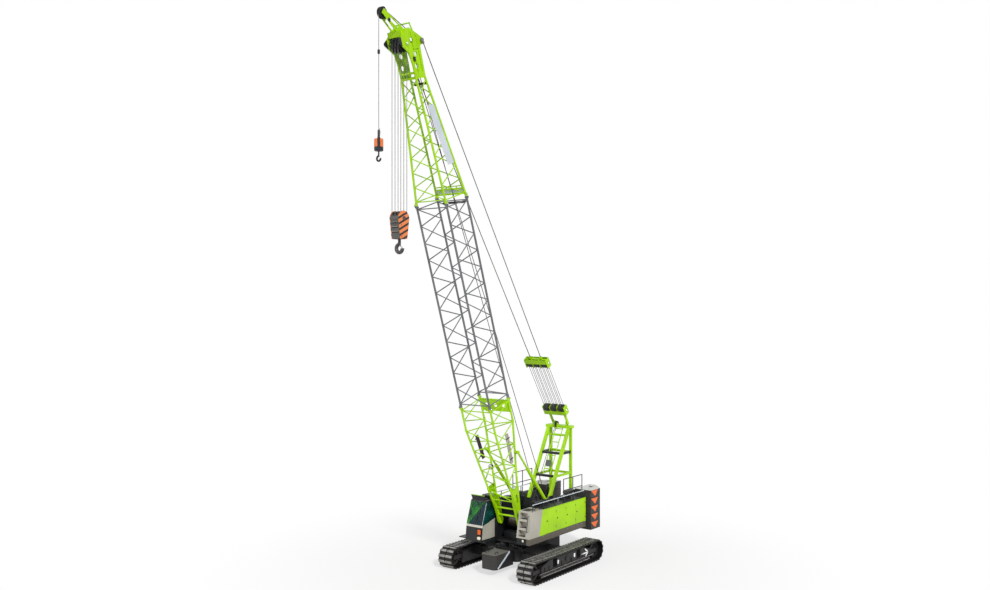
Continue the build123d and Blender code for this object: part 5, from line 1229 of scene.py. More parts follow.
@dataclass
class Counterweight(Assembly):
    """The stacked slabs at the tail, with their warning triangles and lifting bars."""
    finishes: ClassVar[dict[str, Finish]] = {
        "counterweight_base": IRON, "counterweight_slabs": IRON}
    side_y: float = 1.77
    side_front: float = -3.14
    side_rear: float = -3.96
    tail: Span = (-4.52, 1.18)
    low: float = 1.2
    slab_height: float = 0.376
    slabs: int = 5
    triangle_width: float = 0.62
    triangle_height: float = 0.285
    triangle_drop: float = 0.03
    top: float = 3.08

    def add_pieces(self) -> None:
        """Triangles on sides, corners and tail, lifting bars and the stacks' tie bolts."""
        piece("warning_triangles", "house", ORANGE, *self.triangles())
        piece("counterweight_bars", "house", FORGED, *both_sides(*self.lifting_bars()))
        piece("counterweight_ties", "house", ZINC, *both_sides(self.tie_bolts()))

    def triangles(self) -> list[Surface]:
        """Triangles that point down, one on each slab of each face, as thin plates."""
        half = self.triangle_width / 2
        corners = np.array([(-half, 0.0), (0.06, -self.triangle_height), (half, 0.0)])
        mark = slab(corners, 0.003, 0.0005)
        tops = self.low + self.slab_height * np.arange(1, self.slabs + 1) - self.triangle_drop
        corner = np.array([self.side_rear, self.side_y])
        run = np.array(self.tail) - corner
        along = np.array([*(run / np.linalg.norm(run)), 0.0])
        middle = corner + run / 2
        side = Facing.LEFT.mount(mark, rows(self.side_front - half, self.side_y, tops))
        slant = mark.scattered(rows(*middle, tops), along, ALONG_Z)
        return both_sides(side, slant)

    def lifting_bars(self) -> list[Surface]:
        """Short bars across the oval pockets in the top slab."""
        return [pipe([(-4.06, 1.25, 3.03), (-3.84, 1.25, 3.03)], 0.022, ALONG_Y, sides=14)]

    def tie_bolts(self) -> Surface:
        """Large nuts on the stack's top, over the tie rods."""
        places = np.array([(-3.4, 1.05, self.top), (-3.4, 1.5, self.top), (-4.2, 1.05, self.top)])
        return Facing.TOP.mount(bolt(0.035, 0.03), places)


@dataclass
class Cab(Assembly):
    """The operator's cab on the right: hollow, glazed, with its seat and controls."""
    finishes: ClassVar[dict[str, Finish]] = {
        "cab_floor": BLACK, "cab_roof": BLACK, "cab_front": CAB_FRONT, "cab_rear": PALE,
        "cab_inner_side": CAB_SIDE, "cab_outer_side": CAB_SIDE, "cab_glass": GLASS,
        "cab_seat": SEAT_CLOTH, "cab_door": PALE, "cab_door_glass": GLASS}
    inner: float = -0.75
    outer: float = -1.65
    sill: Span = (2.05, 1.97)
    brow: Span = (1.69, 3.05)
    front_low: Span = (2.12, 1.3)
    window_low: float = 2.01
    window_high: float = 2.9
    window_back: float = 0.77
    side_rise: float = 0.3
    side_margin: float = 0.03
    pane: float = 0.006
    pane_gap: float = 0.003
    lamp_y: float = -0.88
    lamp_reach: float = 0.05
    lamp_width: float = 0.17
    roof: float = 3.05

    def add_pieces(self) -> None:
        """Panes, trim, wiper, lamps, roof fittings, door handle, controls and seat."""
        piece("cab_front_pane", "house", FRONT_PANE, self.front_pane())
        piece("cab_side_pane", "house", SIDE_PANE, self.side_pane())
        piece("cab_pillar_trim", "house", SIGN, *self.pillar_trim())
        piece("cab_wiper", "house", BLACK, *self.wiper())
        piece("cab_lens_amber", "house", AMBER, self.lens(1.71, 0.22))
        piece("cab_lens_clear", "house", CLEAR, self.lens(1.44, 0.13))
        piece("cab_lamp_bezel", "house", RUBBER, self.bezel())
        piece("cab_visor_edge", "house", LIME, self.visor_edge())
        piece("cab_roof_fittings", "house", BLACK, *self.roof_fittings())
        piece("cab_door_handle", "cab_door", BLACK, *self.door_handle())
        piece("cab_consoles", "house", BLACK, *self.consoles())
        piece("cab_levers", "house", RUBBER, *self.levers())
        seat = piece("seat_cushion", "house", SEAT_CLOTH,
                     self.pad((1.06, -1.2, 1.82), (0.28, 0.24, 0.09)), replaces=["cab_seat"])
        back = piece("seat_back", "house", SEAT_CLOTH,
                     self.pad((0.86, -1.2, 2.16), (0.08, 0.23, 0.28)),
                     self.pad((0.85, -1.2, 2.48), (0.06, 0.14, 0.09)))
        piece("seat_stand", "house", BLACK, box((0.86, -1.36, 1.35), (1.26, -1.04, 1.74), 0.02))

    def face(self, z: float) -> float:
        """The x of the cab's front at a height, above or below the sill."""
        upper = z > self.sill[1]
        (x0, z0), (x1, z1) = (self.sill, self.brow) if upper else (self.front_low, self.sill)
        return x0 + (x1 - x0) * (z - z0) / (z1 - z0)

    def front_pane(self) -> Surface:
        """The bonded windscreen: a rounded sheet from the sill to the roof."""
        (x0, z0), (x1, z1) = self.sill, self.brow
        up = np.array([x1 - x0, 0.0, z1 - z0])
        up = up / np.linalg.norm(up)
        low, high = self.window_low - 0.01, self.window_high + 0.08
        width = self.inner - self.outer - 0.03
        sheet = slab(rounded(width, (high - low) / up[2], 0.05), self.pane, 0.002)
        middle = (low + high) / 2
        x, y = self.face(middle) + self.pane_gap, (self.inner + self.outer) / 2
        origin = np.array([x, y, middle])
        return sheet.scattered(origin, ALONG_Y, up)

    def side_pane(self) -> Surface:
        """The bonded side window: a sheet whose lower edge rises to the back."""
        low, high = self.window_low - 0.01, self.window_high + 0.06
        back, rise = self.window_back - 0.06, self.side_rise + 0.02
        corners = [(back, 0.0, low + rise), (self.face(low) - self.side_margin, 0.0, low),
                   (self.face(high) - self.side_margin, 0.0, high), (back, 0.0, high)]
        edge = bent(corners, 0.04, True)
        sheet = slab(edge[:, ::2] * (-1, 1), self.pane, 0.002)
        return Facing.LEFT.mount(sheet, (0.0, self.inner + self.pane_gap, 0.0))

    def pillar_trim(self) -> list[Surface]:
        """A bright strip along the front pillar's edge."""
        low, high = self.window_low - 0.02, self.window_high + 0.06
        y = self.inner - 0.004
        return [bar((self.face(low) + 0.004, y, low), (self.face(high) + 0.004, y, high),
                    rounded(0.016, 0.016, 0.004, 3), ALONG_Y)]

    def wiper(self) -> list[Surface]:
        """A wiper's arm and blade on the front window."""
        def at(y: float, z: float, away: float) -> Point:
            """A place a little in front of the glass."""
            return (self.face(z) + away, y, z)

        arm = [at(-1.2, 1.98, 0.01), at(-1.2, 2.0, 0.035), at(-1.08, 2.4, 0.03)]
        blade = [at(-1.16, 2.15, 0.016), at(-1.0, 2.66, 0.016)]
        return [pipe(arm, 0.007, ALONG_Y, 0.01, 8), pipe(blade, 0.009, ALONG_Y, sides=8)]

    def lens(self, z: float, height: float) -> Surface:
        """A rounded lens block on the front, its rim bevelled.

        Args:
            z: The height of its middle.
            height: Its own height.

        Returns:
            The lens.
        """
        block = slab(rounded(self.lamp_width, height, 0.04, 5), self.lamp_reach + 0.02, 0.014)
        return Facing.FRONT.mount(block, (self.face(z) - 0.02, self.lamp_y, z))

    def bezel(self) -> Surface:
        """A black plate behind both lenses."""
        plate = slab(rounded(self.lamp_width + 0.06, 0.52, 0.03), 0.03, 0.006)
        return Facing.FRONT.mount(plate, (self.face(1.6) - 0.02, self.lamp_y, 1.6))

    def visor_edge(self) -> Surface:
        """The coloured strip along the visor's upper edge."""
        _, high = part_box("cab_roof")
        x, z = high[0] - 0.012, high[2]
        ends = (x, self.outer + 0.07, z), (x, self.inner - 0.07, z)
        return bar(*ends, rounded(0.05, 0.022, 0.006), ALONG_Z)

    def roof_fittings(self) -> list[Surface]:
        """An air unit, a hatch and an aerial foot on the cab's roof."""
        foot = turned([(0.035, 0.0), (0.03, 0.04), (0.012, 0.06)], 16)
        return [box((0.7, -1.5, self.roof), (1.15, -0.9, self.roof + 0.14), 0.03),
                box((1.22, -1.4, self.roof), (1.58, -1.0, self.roof + 0.035), 0.012),
                Facing.TOP.mount(foot, (0.68, -0.82, self.roof))]

    def door_handle(self) -> list[Surface]:
        """A bar handle on the sliding door."""
        x, y = 1.58, -1.72
        grip = [(x, y, 1.8), (x, y - 0.04, 1.8), (x, y - 0.04, 2.0), (x, y, 2.0)]
        return [pipe(grip, 0.01, ALONG_X, 0.015)]

    def pad(self, middle: Point, half: Point) -> Surface:
        """A crowned pad at a place."""
        shape = cushion(half)
        return Surface(shape.points + np.asarray(middle), shape.faces)

    def consoles(self) -> list[Surface]:
        """Consoles on both sides of the seat and the instrument stand in front."""
        return [box((0.8, -0.92, 1.35), (1.4, -0.83, 1.95), 0.02),
                box((0.8, -1.56, 1.35), (1.4, -1.47, 1.95), 0.02),
                box((1.78, -1.0, 1.35), (1.9, -0.84, 2.2), 0.02)]

    def levers(self) -> list[Surface]:
        """Control levers with round grips on the consoles, and two pedals."""
        shapes = []
        grip = turned([(0.008, 0.0), (0.008, 0.13), (0.02, 0.15), (0.024, 0.18), (0.016, 0.21)], 12)
        for y in (-0.875, -1.515):
            shapes.append(Facing.TOP.mount(grip, [(x, y, 1.95) for x in (1.12, 1.22, 1.32)]))
        shapes += [box((1.72, y - 0.05, 1.36), (1.86, y + 0.05, 1.42), 0.01) for y in (-1.12, -1.3)]
        return shapes


@dataclass
class Gantry(Assembly):
    """The frame behind the boom that carries its stays."""
    finishes: ClassVar[dict[str, Finish]] = {"gantry_frame": LIME}
    foot: Span = (-1.32, 2.78)
    head: Span = (-3.01, 5.95)
    bar_shares: Span = (0.32, 0.64)
    bar_half: float = 0.05
    leg_inner: float = 0.51
    leg_middle: float = 0.575
    rear_leg: float = -3.15
    guide: Point = (-2.86, 0.0, 6.14)
    guide_radius: float = 0.15
    drum: Point = (-0.68, 0.0, 1.93)
    drum_radius: float = 0.276

    def add_pieces(self) -> None:
        """Sleeves, the upper bar, the rope guide, its plates, the luffing rope, box and pins."""
        piece("gantry_sleeves", "house", BLACK, *self.sleeves())
        piece("gantry_upper_bar", "house", LIME, self.cross_bar(0.9, 0.045))
        piece("gantry_guide", "house", SHEAVE, *self.guide_sheave())
        piece("gantry_guide_plates", "house", LIME, *self.guide_plates())
        piece("luffing_rope", "house", GREASED, self.luffing_rope())
        piece("gantry_box", "house", GREY_TUBE, *self.ladder_box())
        piece("gantry_pins", "house", ZINC, *both_sides(*self.pins()))

    def at(self, share: float) -> Span:
        """The x and z of a place on the front legs by its share of their height."""
        (x0, z0), (x1, z1) = self.foot, self.head
        return x0 + share * (x1 - x0), z0 + share * (z1 - z0)

    def cross_bar(self, share: float, half: float) -> Surface:
        """A square bar between the front legs."""
        x, z = self.at(share)
        outline = rounded(2 * half, 2 * half, 0.012, 3)
        return bar((x, -self.leg_inner, z), (x, self.leg_inner, z), outline, ALONG_Z)

    def sleeves(self) -> list[Surface]:
        """Square grip sleeves over both front bars and over the upper side bars."""
        outline = rounded(2 * self.bar_half + 0.012, 2 * self.bar_half + 0.012, 0.008, 3)
        half, y = self.leg_inner - 0.004, self.leg_middle
        shapes = []
        for share in self.bar_shares:
            x, z = self.at(share)
            shapes.append(bar((x, -half, z), (x, half, z), outline, ALONG_Z))
        x, z = self.at(self.bar_shares[1])
        side = bar((self.rear_leg + 0.004, y, z), (x - 0.1, y, z), outline, ALONG_Z)
        return [*shapes, *both_sides(side)]

    def guide_sheave(self) -> list[Surface]:
        """A grooved sheave between two plates at the gantry's head."""
        rim, root, half = self.guide_radius, self.guide_radius - 0.03, 0.03
        wheel = turned([(0.03, -half), (rim, -half), (rim, 0.006 - half),
                        (root, -0.006), (root, 0.006), (rim, half - 0.006),
                        (rim, half), (0.03, half)], 32)
        return [Facing.LEFT.mount(wheel, self.guide)]

    def guide_plates(self) -> list[Surface]:
        """The two plates that hold the guide on the head."""
        x, _, z = self.guide
        outline = np.array([(-0.1, -0.19), (0.16, -0.19), (0.06, 0.05), (-0.06, 0.05)])
        plate = slab(outline, 0.016, 0.003)
        return both_sides(Facing.LEFT.mount(plate, (x, 0.038, z)))

    def luffing_rope(self) -> Surface:
        """The rope from the winch up to the guide."""
        x, _, z = self.guide
        start = (self.drum[0] + self.drum_radius, 0.0, self.drum[2] + 0.05)
        end = (x + self.guide_radius - 0.02, 0.0, z - 0.03)
        return rope(straight(start, end, 0.03), 0.011, 0.36)

    def ladder_box(self) -> list[Surface]:
        """A junction box on the ladder, with its lid and clamp."""
        x, z = self.at(0.5)
        return [box((x + 0.03, -0.06, z - 0.16), (x + 0.16, 0.16, z + 0.14), 0.012),
                box((x + 0.16, -0.03, z - 0.12), (x + 0.18, 0.13, z + 0.1), 0.006)]

    def pins(self) -> list[Surface]:
        """Pin heads with a keeper bolt at the front legs' feet."""
        head = turned([(0.06, 0.0), (0.06, 0.02), (0.05, 0.03)], 20)
        x, z = self.at(0.03)
        return [Facing.LEFT.mount(shape, (x, 0.64, z)) for shape in (head, bolt(0.016, 0.04))]


@dataclass
class Boom(Assembly):
    """The lattice boom: base, insert, tapered top, head and tip, in its own frame of s, y and n.

    s runs from the foot along the boom, y to the left and n to the rear.
    """
    finishes: ClassVar[dict[str, Finish]] = {
        "boom_base": LIME, "boom_insert": GREY_TUBE, "boom_top": LIME, "boom_head": HEAD,
        "head_sheaves": SHEAVE, "tip_extension": LIME, "tip_sheave": SHEAVE,
        "backstop_tubes": LIME, "backstop_rods": LIME}
    foot: Span = (0.96, 2.1)
    angle: float = 71.3
    half_width: float = 0.795
    half_depth: float = 0.68
    foot_half: float = 0.54
    taper: float = 4.75
    joints: Span = (5.86, 14.86)
    top_length: float = 5.07
    top_half: float = 0.375
    top_rear: float = 0.14
    top_front: float = -0.39
    sheave: Span = (21.215, -0.515)
    tip: Span = (22.495, -1.085)
    ear: Span = (21.26, 0.34)
    winch: Span = (-2.0, 1.81)
    rope_bend: float = 4.5
    rope_size: float = 0.014
    lamp_at: Span = (2.85, -0.2)
    lamp_rise: float = 0.16
    roller_places: tuple[Span, ...] = ((5.6, 0.6), (14.6, 0.6), (19.6, 0.32))
    guard_radius: float = 0.31

    def place(self, s: float, y: float, n: float) -> Point:
        """A place in the machine's frame: the foot plus s along the boom and n across it."""
        turn = math.radians(self.angle)
        return (self.foot[0] + s * math.cos(turn) - n * math.sin(turn), y,
                self.foot[1] + s * math.sin(turn) + n * math.cos(turn))

    @property
    def along(self) -> Array:
        """The direction of the boom."""
        turn = math.radians(self.angle)
        return np.array([math.cos(turn), 0.0, math.sin(turn)])

    @property
    def rear(self) -> Array:
        """The direction from the boom's front face to its rear face."""
        turn = math.radians(self.angle)
        return np.array([-math.sin(turn), 0.0, math.cos(turn)])

    def tapered(self, s: float, foot: float, middle: float, top: float) -> float:
        """A measure that changes evenly along both tapers and stays the same between them.

        Args:
            s: The place along the boom.
            foot: The measure at the foot.
            middle: The measure between the tapers.
            top: The measure at the upper end.

        Returns:
            The measure at that place.
        """
        if s < self.taper:
            return foot + s / self.taper * (middle - foot)
        share = max(s - self.joints[1], 0.0) / self.top_length
        return middle + share * (top - middle)

    def width(self, s: float) -> float:
        """Half of the boom's width at a place along it."""
        return self.tapered(s, self.foot_half, self.half_width, self.top_half)

    def rear_n(self, s: float) -> float:
        """The n of the rear chords at a place along the boom."""
        return self.tapered(s, 0.0, self.half_depth, self.top_rear)

    def front_n(self, s: float) -> float:
        """The n of the front chords at a place along the boom."""
        return self.tapered(s, 0.0, -self.half_depth, self.top_front)

    def add_pieces(self) -> None:
        """Sign plate, stored struts, lamps, rollers, pins, rope guards and the hoist ropes."""
        piece("boom_sign_plate", "boom", SIGN, self.sign_plate())
        piece("boom_sign_clamps", "boom", LIME, *self.sign_clamps())
        piece("stored_strut", "boom", PALE, *self.strut(1, (2.88, 4.3), (0.24, 0.2)))
        piece("stored_strut_far", "boom", GREASED, *self.strut(-1, (3.17, 4.3), (-0.13, -0.19)))
        piece("strut_clamps", "boom", BLACK, *self.strut_clamps())
        piece("boom_lamp", "boom", BLACK, *self.lamp())
        piece("boom_lamp_lens", "boom", CLEAR, self.lamp_lens())
        piece("boom_rollers", "boom", SHEAVE, *self.rollers())
        piece("boom_roller_arms", "boom", LIME, *self.roller_arms())
        piece("joint_pin_heads", "boom", ZINC, *self.joint_pins())
        piece("head_rope_guards", "boom", BLACK, *self.head_guards())
        piece("head_pin_heads", "boom", ZINC, *both_sides(*self.head_pins()))
        piece("head_switch", "boom", BLACK, *self.head_switch())
        piece("head_ribs", "boom", LIME, *both_sides(*self.head_ribs()))
        piece("top_frame_bars", "boom", LIME, *self.top_frame())
        piece("top_frame_panel", "boom", SIGN, self.top_panel())
        piece("foot_gussets", "boom", LIME, *both_sides(self.gusset()))
        piece("tip_rope", "boom", GREASED, self.tip_rope())
        self.hoist_ropes()

    def sign_plate(self) -> Surface:
        """A blank plate on the left face, along the rear chord, whose edges follow the face."""
        s = np.linspace(16.3, 18.75, 12)
        upper = np.array([self.place(each, self.width(each) + 0.06, self.rear_n(each) - 0.12)
                          for each in s])
        lower = upper - 0.4 * self.rear
        out = np.array([0.0, 0.006, 0.0])
        return lofted(np.stack([lower, upper, upper + out, lower + out], 1))

    def sign_clamps(self) -> list[Surface]:
        """Clips that hold the plate on the chord."""
        shapes = []
        for s in (16.5, 17.5, 18.5):
            y, n = self.width(s), self.rear_n(s)
            shapes.append(bar(self.place(s, y + 0.055, n - 0.2), self.place(s, y + 0.02, n),
                              rounded(0.05, 0.012, 0.004), ALONG_Y))
        return shapes

    def strut(self, way: int, span: Span, at: Span) -> list[Surface]:
        """A pair of spare square tubes, stored inside the base section's side.

        Args:
            way: One on the left, minus one on the right.
            span: Where it starts and ends along the boom.
            at: Its n at both ends.

        Returns:
            The tubes.
        """
        shapes = []
        for beside in (-0.045, 0.045):
            ends = [self.place(s, way * (self.width(s) - 0.085), n + beside)
                    for s, n in zip(span, at)]
            shapes.append(bar(*ends, rounded(0.075, 0.075, 0.012, 3), ALONG_Y))
        return shapes

    def strut_clamps(self) -> list[Surface]:
        """Straps across the stored tubes, out to the lacing."""
        shapes = []
        for way, s, n in ((1, 3.1, 0.23), (1, 4.1, 0.2), (-1, 3.3, -0.14), (-1, 4.15, -0.18)):
            y = way * (self.width(s) - 0.04)
            shapes.append(bar(self.place(s, y, n - 0.12), self.place(s, y, n + 0.12),
                              rounded(0.05, 0.012, 0.004), ALONG_Y))
        return shapes

    @property
    def lamp_middle(self) -> Array:
        """The middle of the work lamp."""
        s, y = self.lamp_at
        return np.array(self.place(s, y, self.front_n(s) + self.lamp_rise))

    def lamp(self) -> list[Surface]:
        """A work lamp on the base's front face, looking down to the hook."""
        s, y = self.lamp_at
        middle = self.lamp_middle
        shell = turned([(0.05, -0.1), (0.1, -0.06), (0.115, 0.05), (0.108, 0.06)], 24)
        foot = bar(self.place(s, y, self.front_n(s)), tuple(middle),
                   rounded(0.05, 0.03, 0.006), ALONG_Y)
        return [shell.scattered(middle, ALONG_Y, ALONG_Z), foot]

    def lamp_lens(self) -> Surface:
        """The work lamp's lens."""
        dome = turned([(0.1, 0.056), (0.09, 0.068), (0.05, 0.076)], 24)
        return dome.scattered(self.lamp_middle, ALONG_Y, ALONG_Z)

    def rollers(self) -> list[Surface]:
        """Rope rollers across the rear face, at the base and on the top section."""
        shapes = []
        for s, half in self.roller_places:
            n = self.rear_n(s) + 0.09
            ends = [self.place(s, -half, n), self.place(s, half, n)]
            shapes.append(pipe(ends, 0.05, ALONG_X, sides=18))
        return shapes

    def roller_arms(self) -> list[Surface]:
        """Arms that carry the rollers on the rear chords."""
        shapes = []
        for s, half in self.roller_places:
            n, chord = self.rear_n(s), self.width(s) - 0.01
            for way in (-1, 1):
                ends = self.place(s, way * half, n + 0.12), self.place(s, way * chord, n)
                shapes.append(bar(*ends, rounded(0.06, 0.014, 0.004), tuple(self.along)))
        return shapes

    def joint_pins(self) -> list[Surface]:
        """Heads and split keepers on the pins between the sections, outside each chord."""
        head = turned([(0.036, 0.0), (0.036, 0.014), (0.028, 0.022)], 16)
        shapes = []
        for s in self.joints:
            for n in (-self.half_depth, self.half_depth):
                middle = np.array(self.place(s, self.half_width + 0.095, n))
                shapes += both_sides(head.scattered(middle, self.rear, self.along))
        return shapes

    def arc(self, middle: Span, radius: float, turns: Span, y: float) -> Array:
        """Places on an arc about a shaft.

        Args:
            middle: The shaft's s and n.
            radius: The arc's radius.
            turns: Its ends, in degrees from the boom's direction towards its rear.
            y: Its place across the boom.

        Returns:
            The places along it.
        """
        angle = np.radians(np.linspace(*turns, 14))[:, None]
        centre = np.array(self.place(middle[0], y, middle[1]))
        return centre + radius * (np.cos(angle) * self.along + np.sin(angle) * self.rear)

    def head_guards(self) -> list[Surface]:
        """Round bars over the sheaves of head and tip, which keep the ropes in their grooves."""
        rim, radius = self.sheave, self.guard_radius
        shapes = [carried(self.arc(rim, radius, (-170.0, -20.0), y), circle(0.014, 8), ALONG_Y)
                  for y in (-0.24, -0.08, 0.08, 0.24)]
        for turn in (-150.0, -95.0, -40.0):
            ends = [tuple(self.arc(rim, radius, (turn, turn + 1.0), y)[0]) for y in (-0.26, 0.26)]
            shapes.append(pipe(ends, 0.012, tuple(self.along), sides=8))
        shapes += [carried(self.arc(self.tip, 0.225, (-160.0, 40.0), y), circle(0.012, 8), ALONG_Y)
                   for y in (-0.07, 0.07)]
        return shapes

    def head_pins(self) -> list[Surface]:
        """Pin heads at the ears and at the sheave shaft."""
        head = turned([(0.06, 0.0), (0.06, 0.014), (0.05, 0.022)], 20)
        return [head.scattered(np.array(self.place(s, 0.43, n)), self.rear, self.along)
                for s, n in (self.ear, self.sheave)]

    def head_ribs(self) -> list[Surface]:
        """Stiffeners outside the head's plates: two along the boom and one between them."""
        y, outline = 0.427, rounded(0.024, 0.02, 0.005, 3)
        runs = (((20.1, -0.22), (21.65, -0.2)), ((20.1, 0.06), (21.5, 0.08)),
                ((20.98, -0.2), (20.98, 0.07)))
        return [bar(self.place(s0, y, n0), self.place(s1, y, n1), outline, ALONG_Y)
                for (s0, n0), (s1, n1) in runs]

    def head_switch(self) -> list[Surface]:
        """Limit switch boxes beside the front of the head and at the tip."""
        x, y, z = self.place(20.6, 0.4, -0.3)
        u, v, w = self.place(22.2, 0.13, -0.95)
        return [box((x - 0.06, y, z - 0.08), (x + 0.06, y + 0.05, z + 0.08), 0.008),
                box((u - 0.05, v, w - 0.06), (u + 0.05, v + 0.05, w + 0.06), 0.008)]

    def across_rear(self, s: float, outline: Array) -> Surface:
        """A bar across the rear face between the chords."""
        half, n = self.width(s) - 0.03, self.rear_n(s)
        return bar(self.place(s, -half, n), self.place(s, half, n), outline, tuple(self.along))

    def top_frame(self) -> list[Surface]:
        """Two square bars across the rear of the top section's lower end."""
        return [self.across_rear(s, rounded(0.07, 0.06, 0.01, 3)) for s in (14.98, 15.2)]

    def top_panel(self) -> Surface:
        """The pale web between those bars."""
        return self.across_rear(15.09, rounded(0.014, 0.18, 0.004, 3))

    def gusset(self) -> Surface:
        """A web plate with an oval hole on the side of the foot.

        Its outer outline runs round a four-sided plate and its inner one round an ellipse, point
        for point.
        """
        low, high = 0.55, 1.75
        corners = [(low, self.front_n(low) - 0.05), (high, self.front_n(high) - 0.02),
                   (high, self.rear_n(high) + 0.02), (low, self.rear_n(low) + 0.05)]
        ring = np.array([*corners, corners[0]])
        share = np.linspace(0, 4, 40, endpoint=False)
        outer = np.stack([np.interp(share, np.arange(5), ring[:, k]) for k in (0, 1)], 1)
        middle = np.array([1.25, 0.0])
        turn = np.arctan2(outer[:, 1], outer[:, 0] - middle[0])
        inner = middle + np.stack([0.2 * np.cos(turn), 0.08 * np.sin(turn)], 1)
        rings = [np.array([self.place(s, self.width(s) + lift, n) for s, n in outline])
                 for outline, lift in ((outer, 0.05), (outer, 0.066),
                                       (inner, 0.066), (inner, 0.05))]
        return lofted(np.stack(rings), True)

    def tip_rope(self) -> Surface:
        """The single rope's run from the tip sheave back over the head."""
        run = straight(self.place(22.55, 0.0, -0.86), self.place(21.75, 0.0, 0.12), ROPE_STEP)
        return rope(run, self.rope_size, ROPE_LAY)

    def hoist_ropes(self) -> None:
        """The two hoist ropes, straight from the rear winch to the head; the place of a bend near
        the winch is worked out but not used.
        """
        for name, y, end in (("main_hoist_rope", 0.3, self.place(21.1, 0.16, -0.22)),
                             ("aux_hoist_rope", -0.3, self.place(21.72, 0.0, 0.12))):
            start = (self.winch[0], y, self.winch[1])
            run = straight(start, end, ROPE_STEP)
            line = piece(name, "", GREASED, rope(run, self.rope_size, ROPE_LAY))
            share = self.rope_bend / math.dist(start, end)
            bend = tuple(a + share * (b - a) for a, b in zip(start, end))
            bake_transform(line)


@dataclass
class Stays(Assembly):
    """What holds the boom up: spreader, bridle, pendants and falls, in a frame of t, y and n."""
    finishes: ClassVar[dict[str, Finish]] = {
        "spreader_frame": LIME, "spreader_sheaves": SHEAVE, "bridle_frame": LIME,
        "bridle_sheaves": SHEAVE, "pendants": WIRE}
    origin: Span = (-3.2, 6.17)
    angle: float = 56.631
    spreader_at: float = 0.83
    bridle_at: float = 3.62
    bays: tuple[float, ...] = (-0.4067, 0.0, 0.4067)
    sheave_half_pitch: float = 0.06
    rope_line: float = 0.12
    guard_half: float = 0.15
    rope_radius: float = 0.011

    def place(self, t: float, y: float, n: float) -> Point:
        """A place in the machine's frame: the gantry's peak plus t along the stays and n across."""
        turn = math.radians(self.angle)
        return (self.origin[0] + t * math.cos(turn) - n * math.sin(turn), y,
                self.origin[1] + t * math.sin(turn) + n * math.cos(turn))

    def add_pieces(self) -> None:
        """The falls between spreader and bridle, and the pins of both yokes."""
        low, high = self.spreader_at, self.bridle_at
        falls = [rope(straight(self.place(low, y, n), self.place(high, y, n), 0.04),
                      self.rope_radius, 0.4)
                 for bay in self.bays
                 for y in (bay - self.sheave_half_pitch, bay + self.sheave_half_pitch)
                 for n in (-self.rope_line, self.rope_line)]
        made = piece("luffing_falls", "", WIRE, *falls)
        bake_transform(made)
        piece("spreader_cheeks", "spreader", SHEAVE, self.cheeks(self.spreader_at + 0.1, 0.19))
        piece("bridle_cheeks", "stays", SHEAVE, self.cheeks(self.bridle_at - 0.08, 0.17))
        piece("spreader_nuts", "spreader", ZINC, *both_sides(self.nut(self.spreader_at)))
        piece("bridle_nuts", "stays", ZINC, *both_sides(self.nut(self.bridle_at)))

    def cheeks(self, t: float, radius: float) -> Surface:
        """Black guards over each bay's sheaves: a barrel with rounded edges about the shaft."""
        half = self.guard_half
        barrel = turned([(radius - 0.04, -half), (radius - 0.01, 0.02 - half),
                         (radius, 0.06 - half), (radius, half - 0.06),
                         (radius - 0.01, half - 0.02), (radius - 0.04, half)], 30)
        return Facing.LEFT.mount(barrel, [self.place(t, bay, 0.0) for bay in self.bays])

    def nut(self, t: float) -> Surface:
        """The nut on a yoke's shaft, outside its left plate."""
        return Facing.LEFT.mount(bolt(0.05, 0.035), self.place(t, 0.625, 0.0))


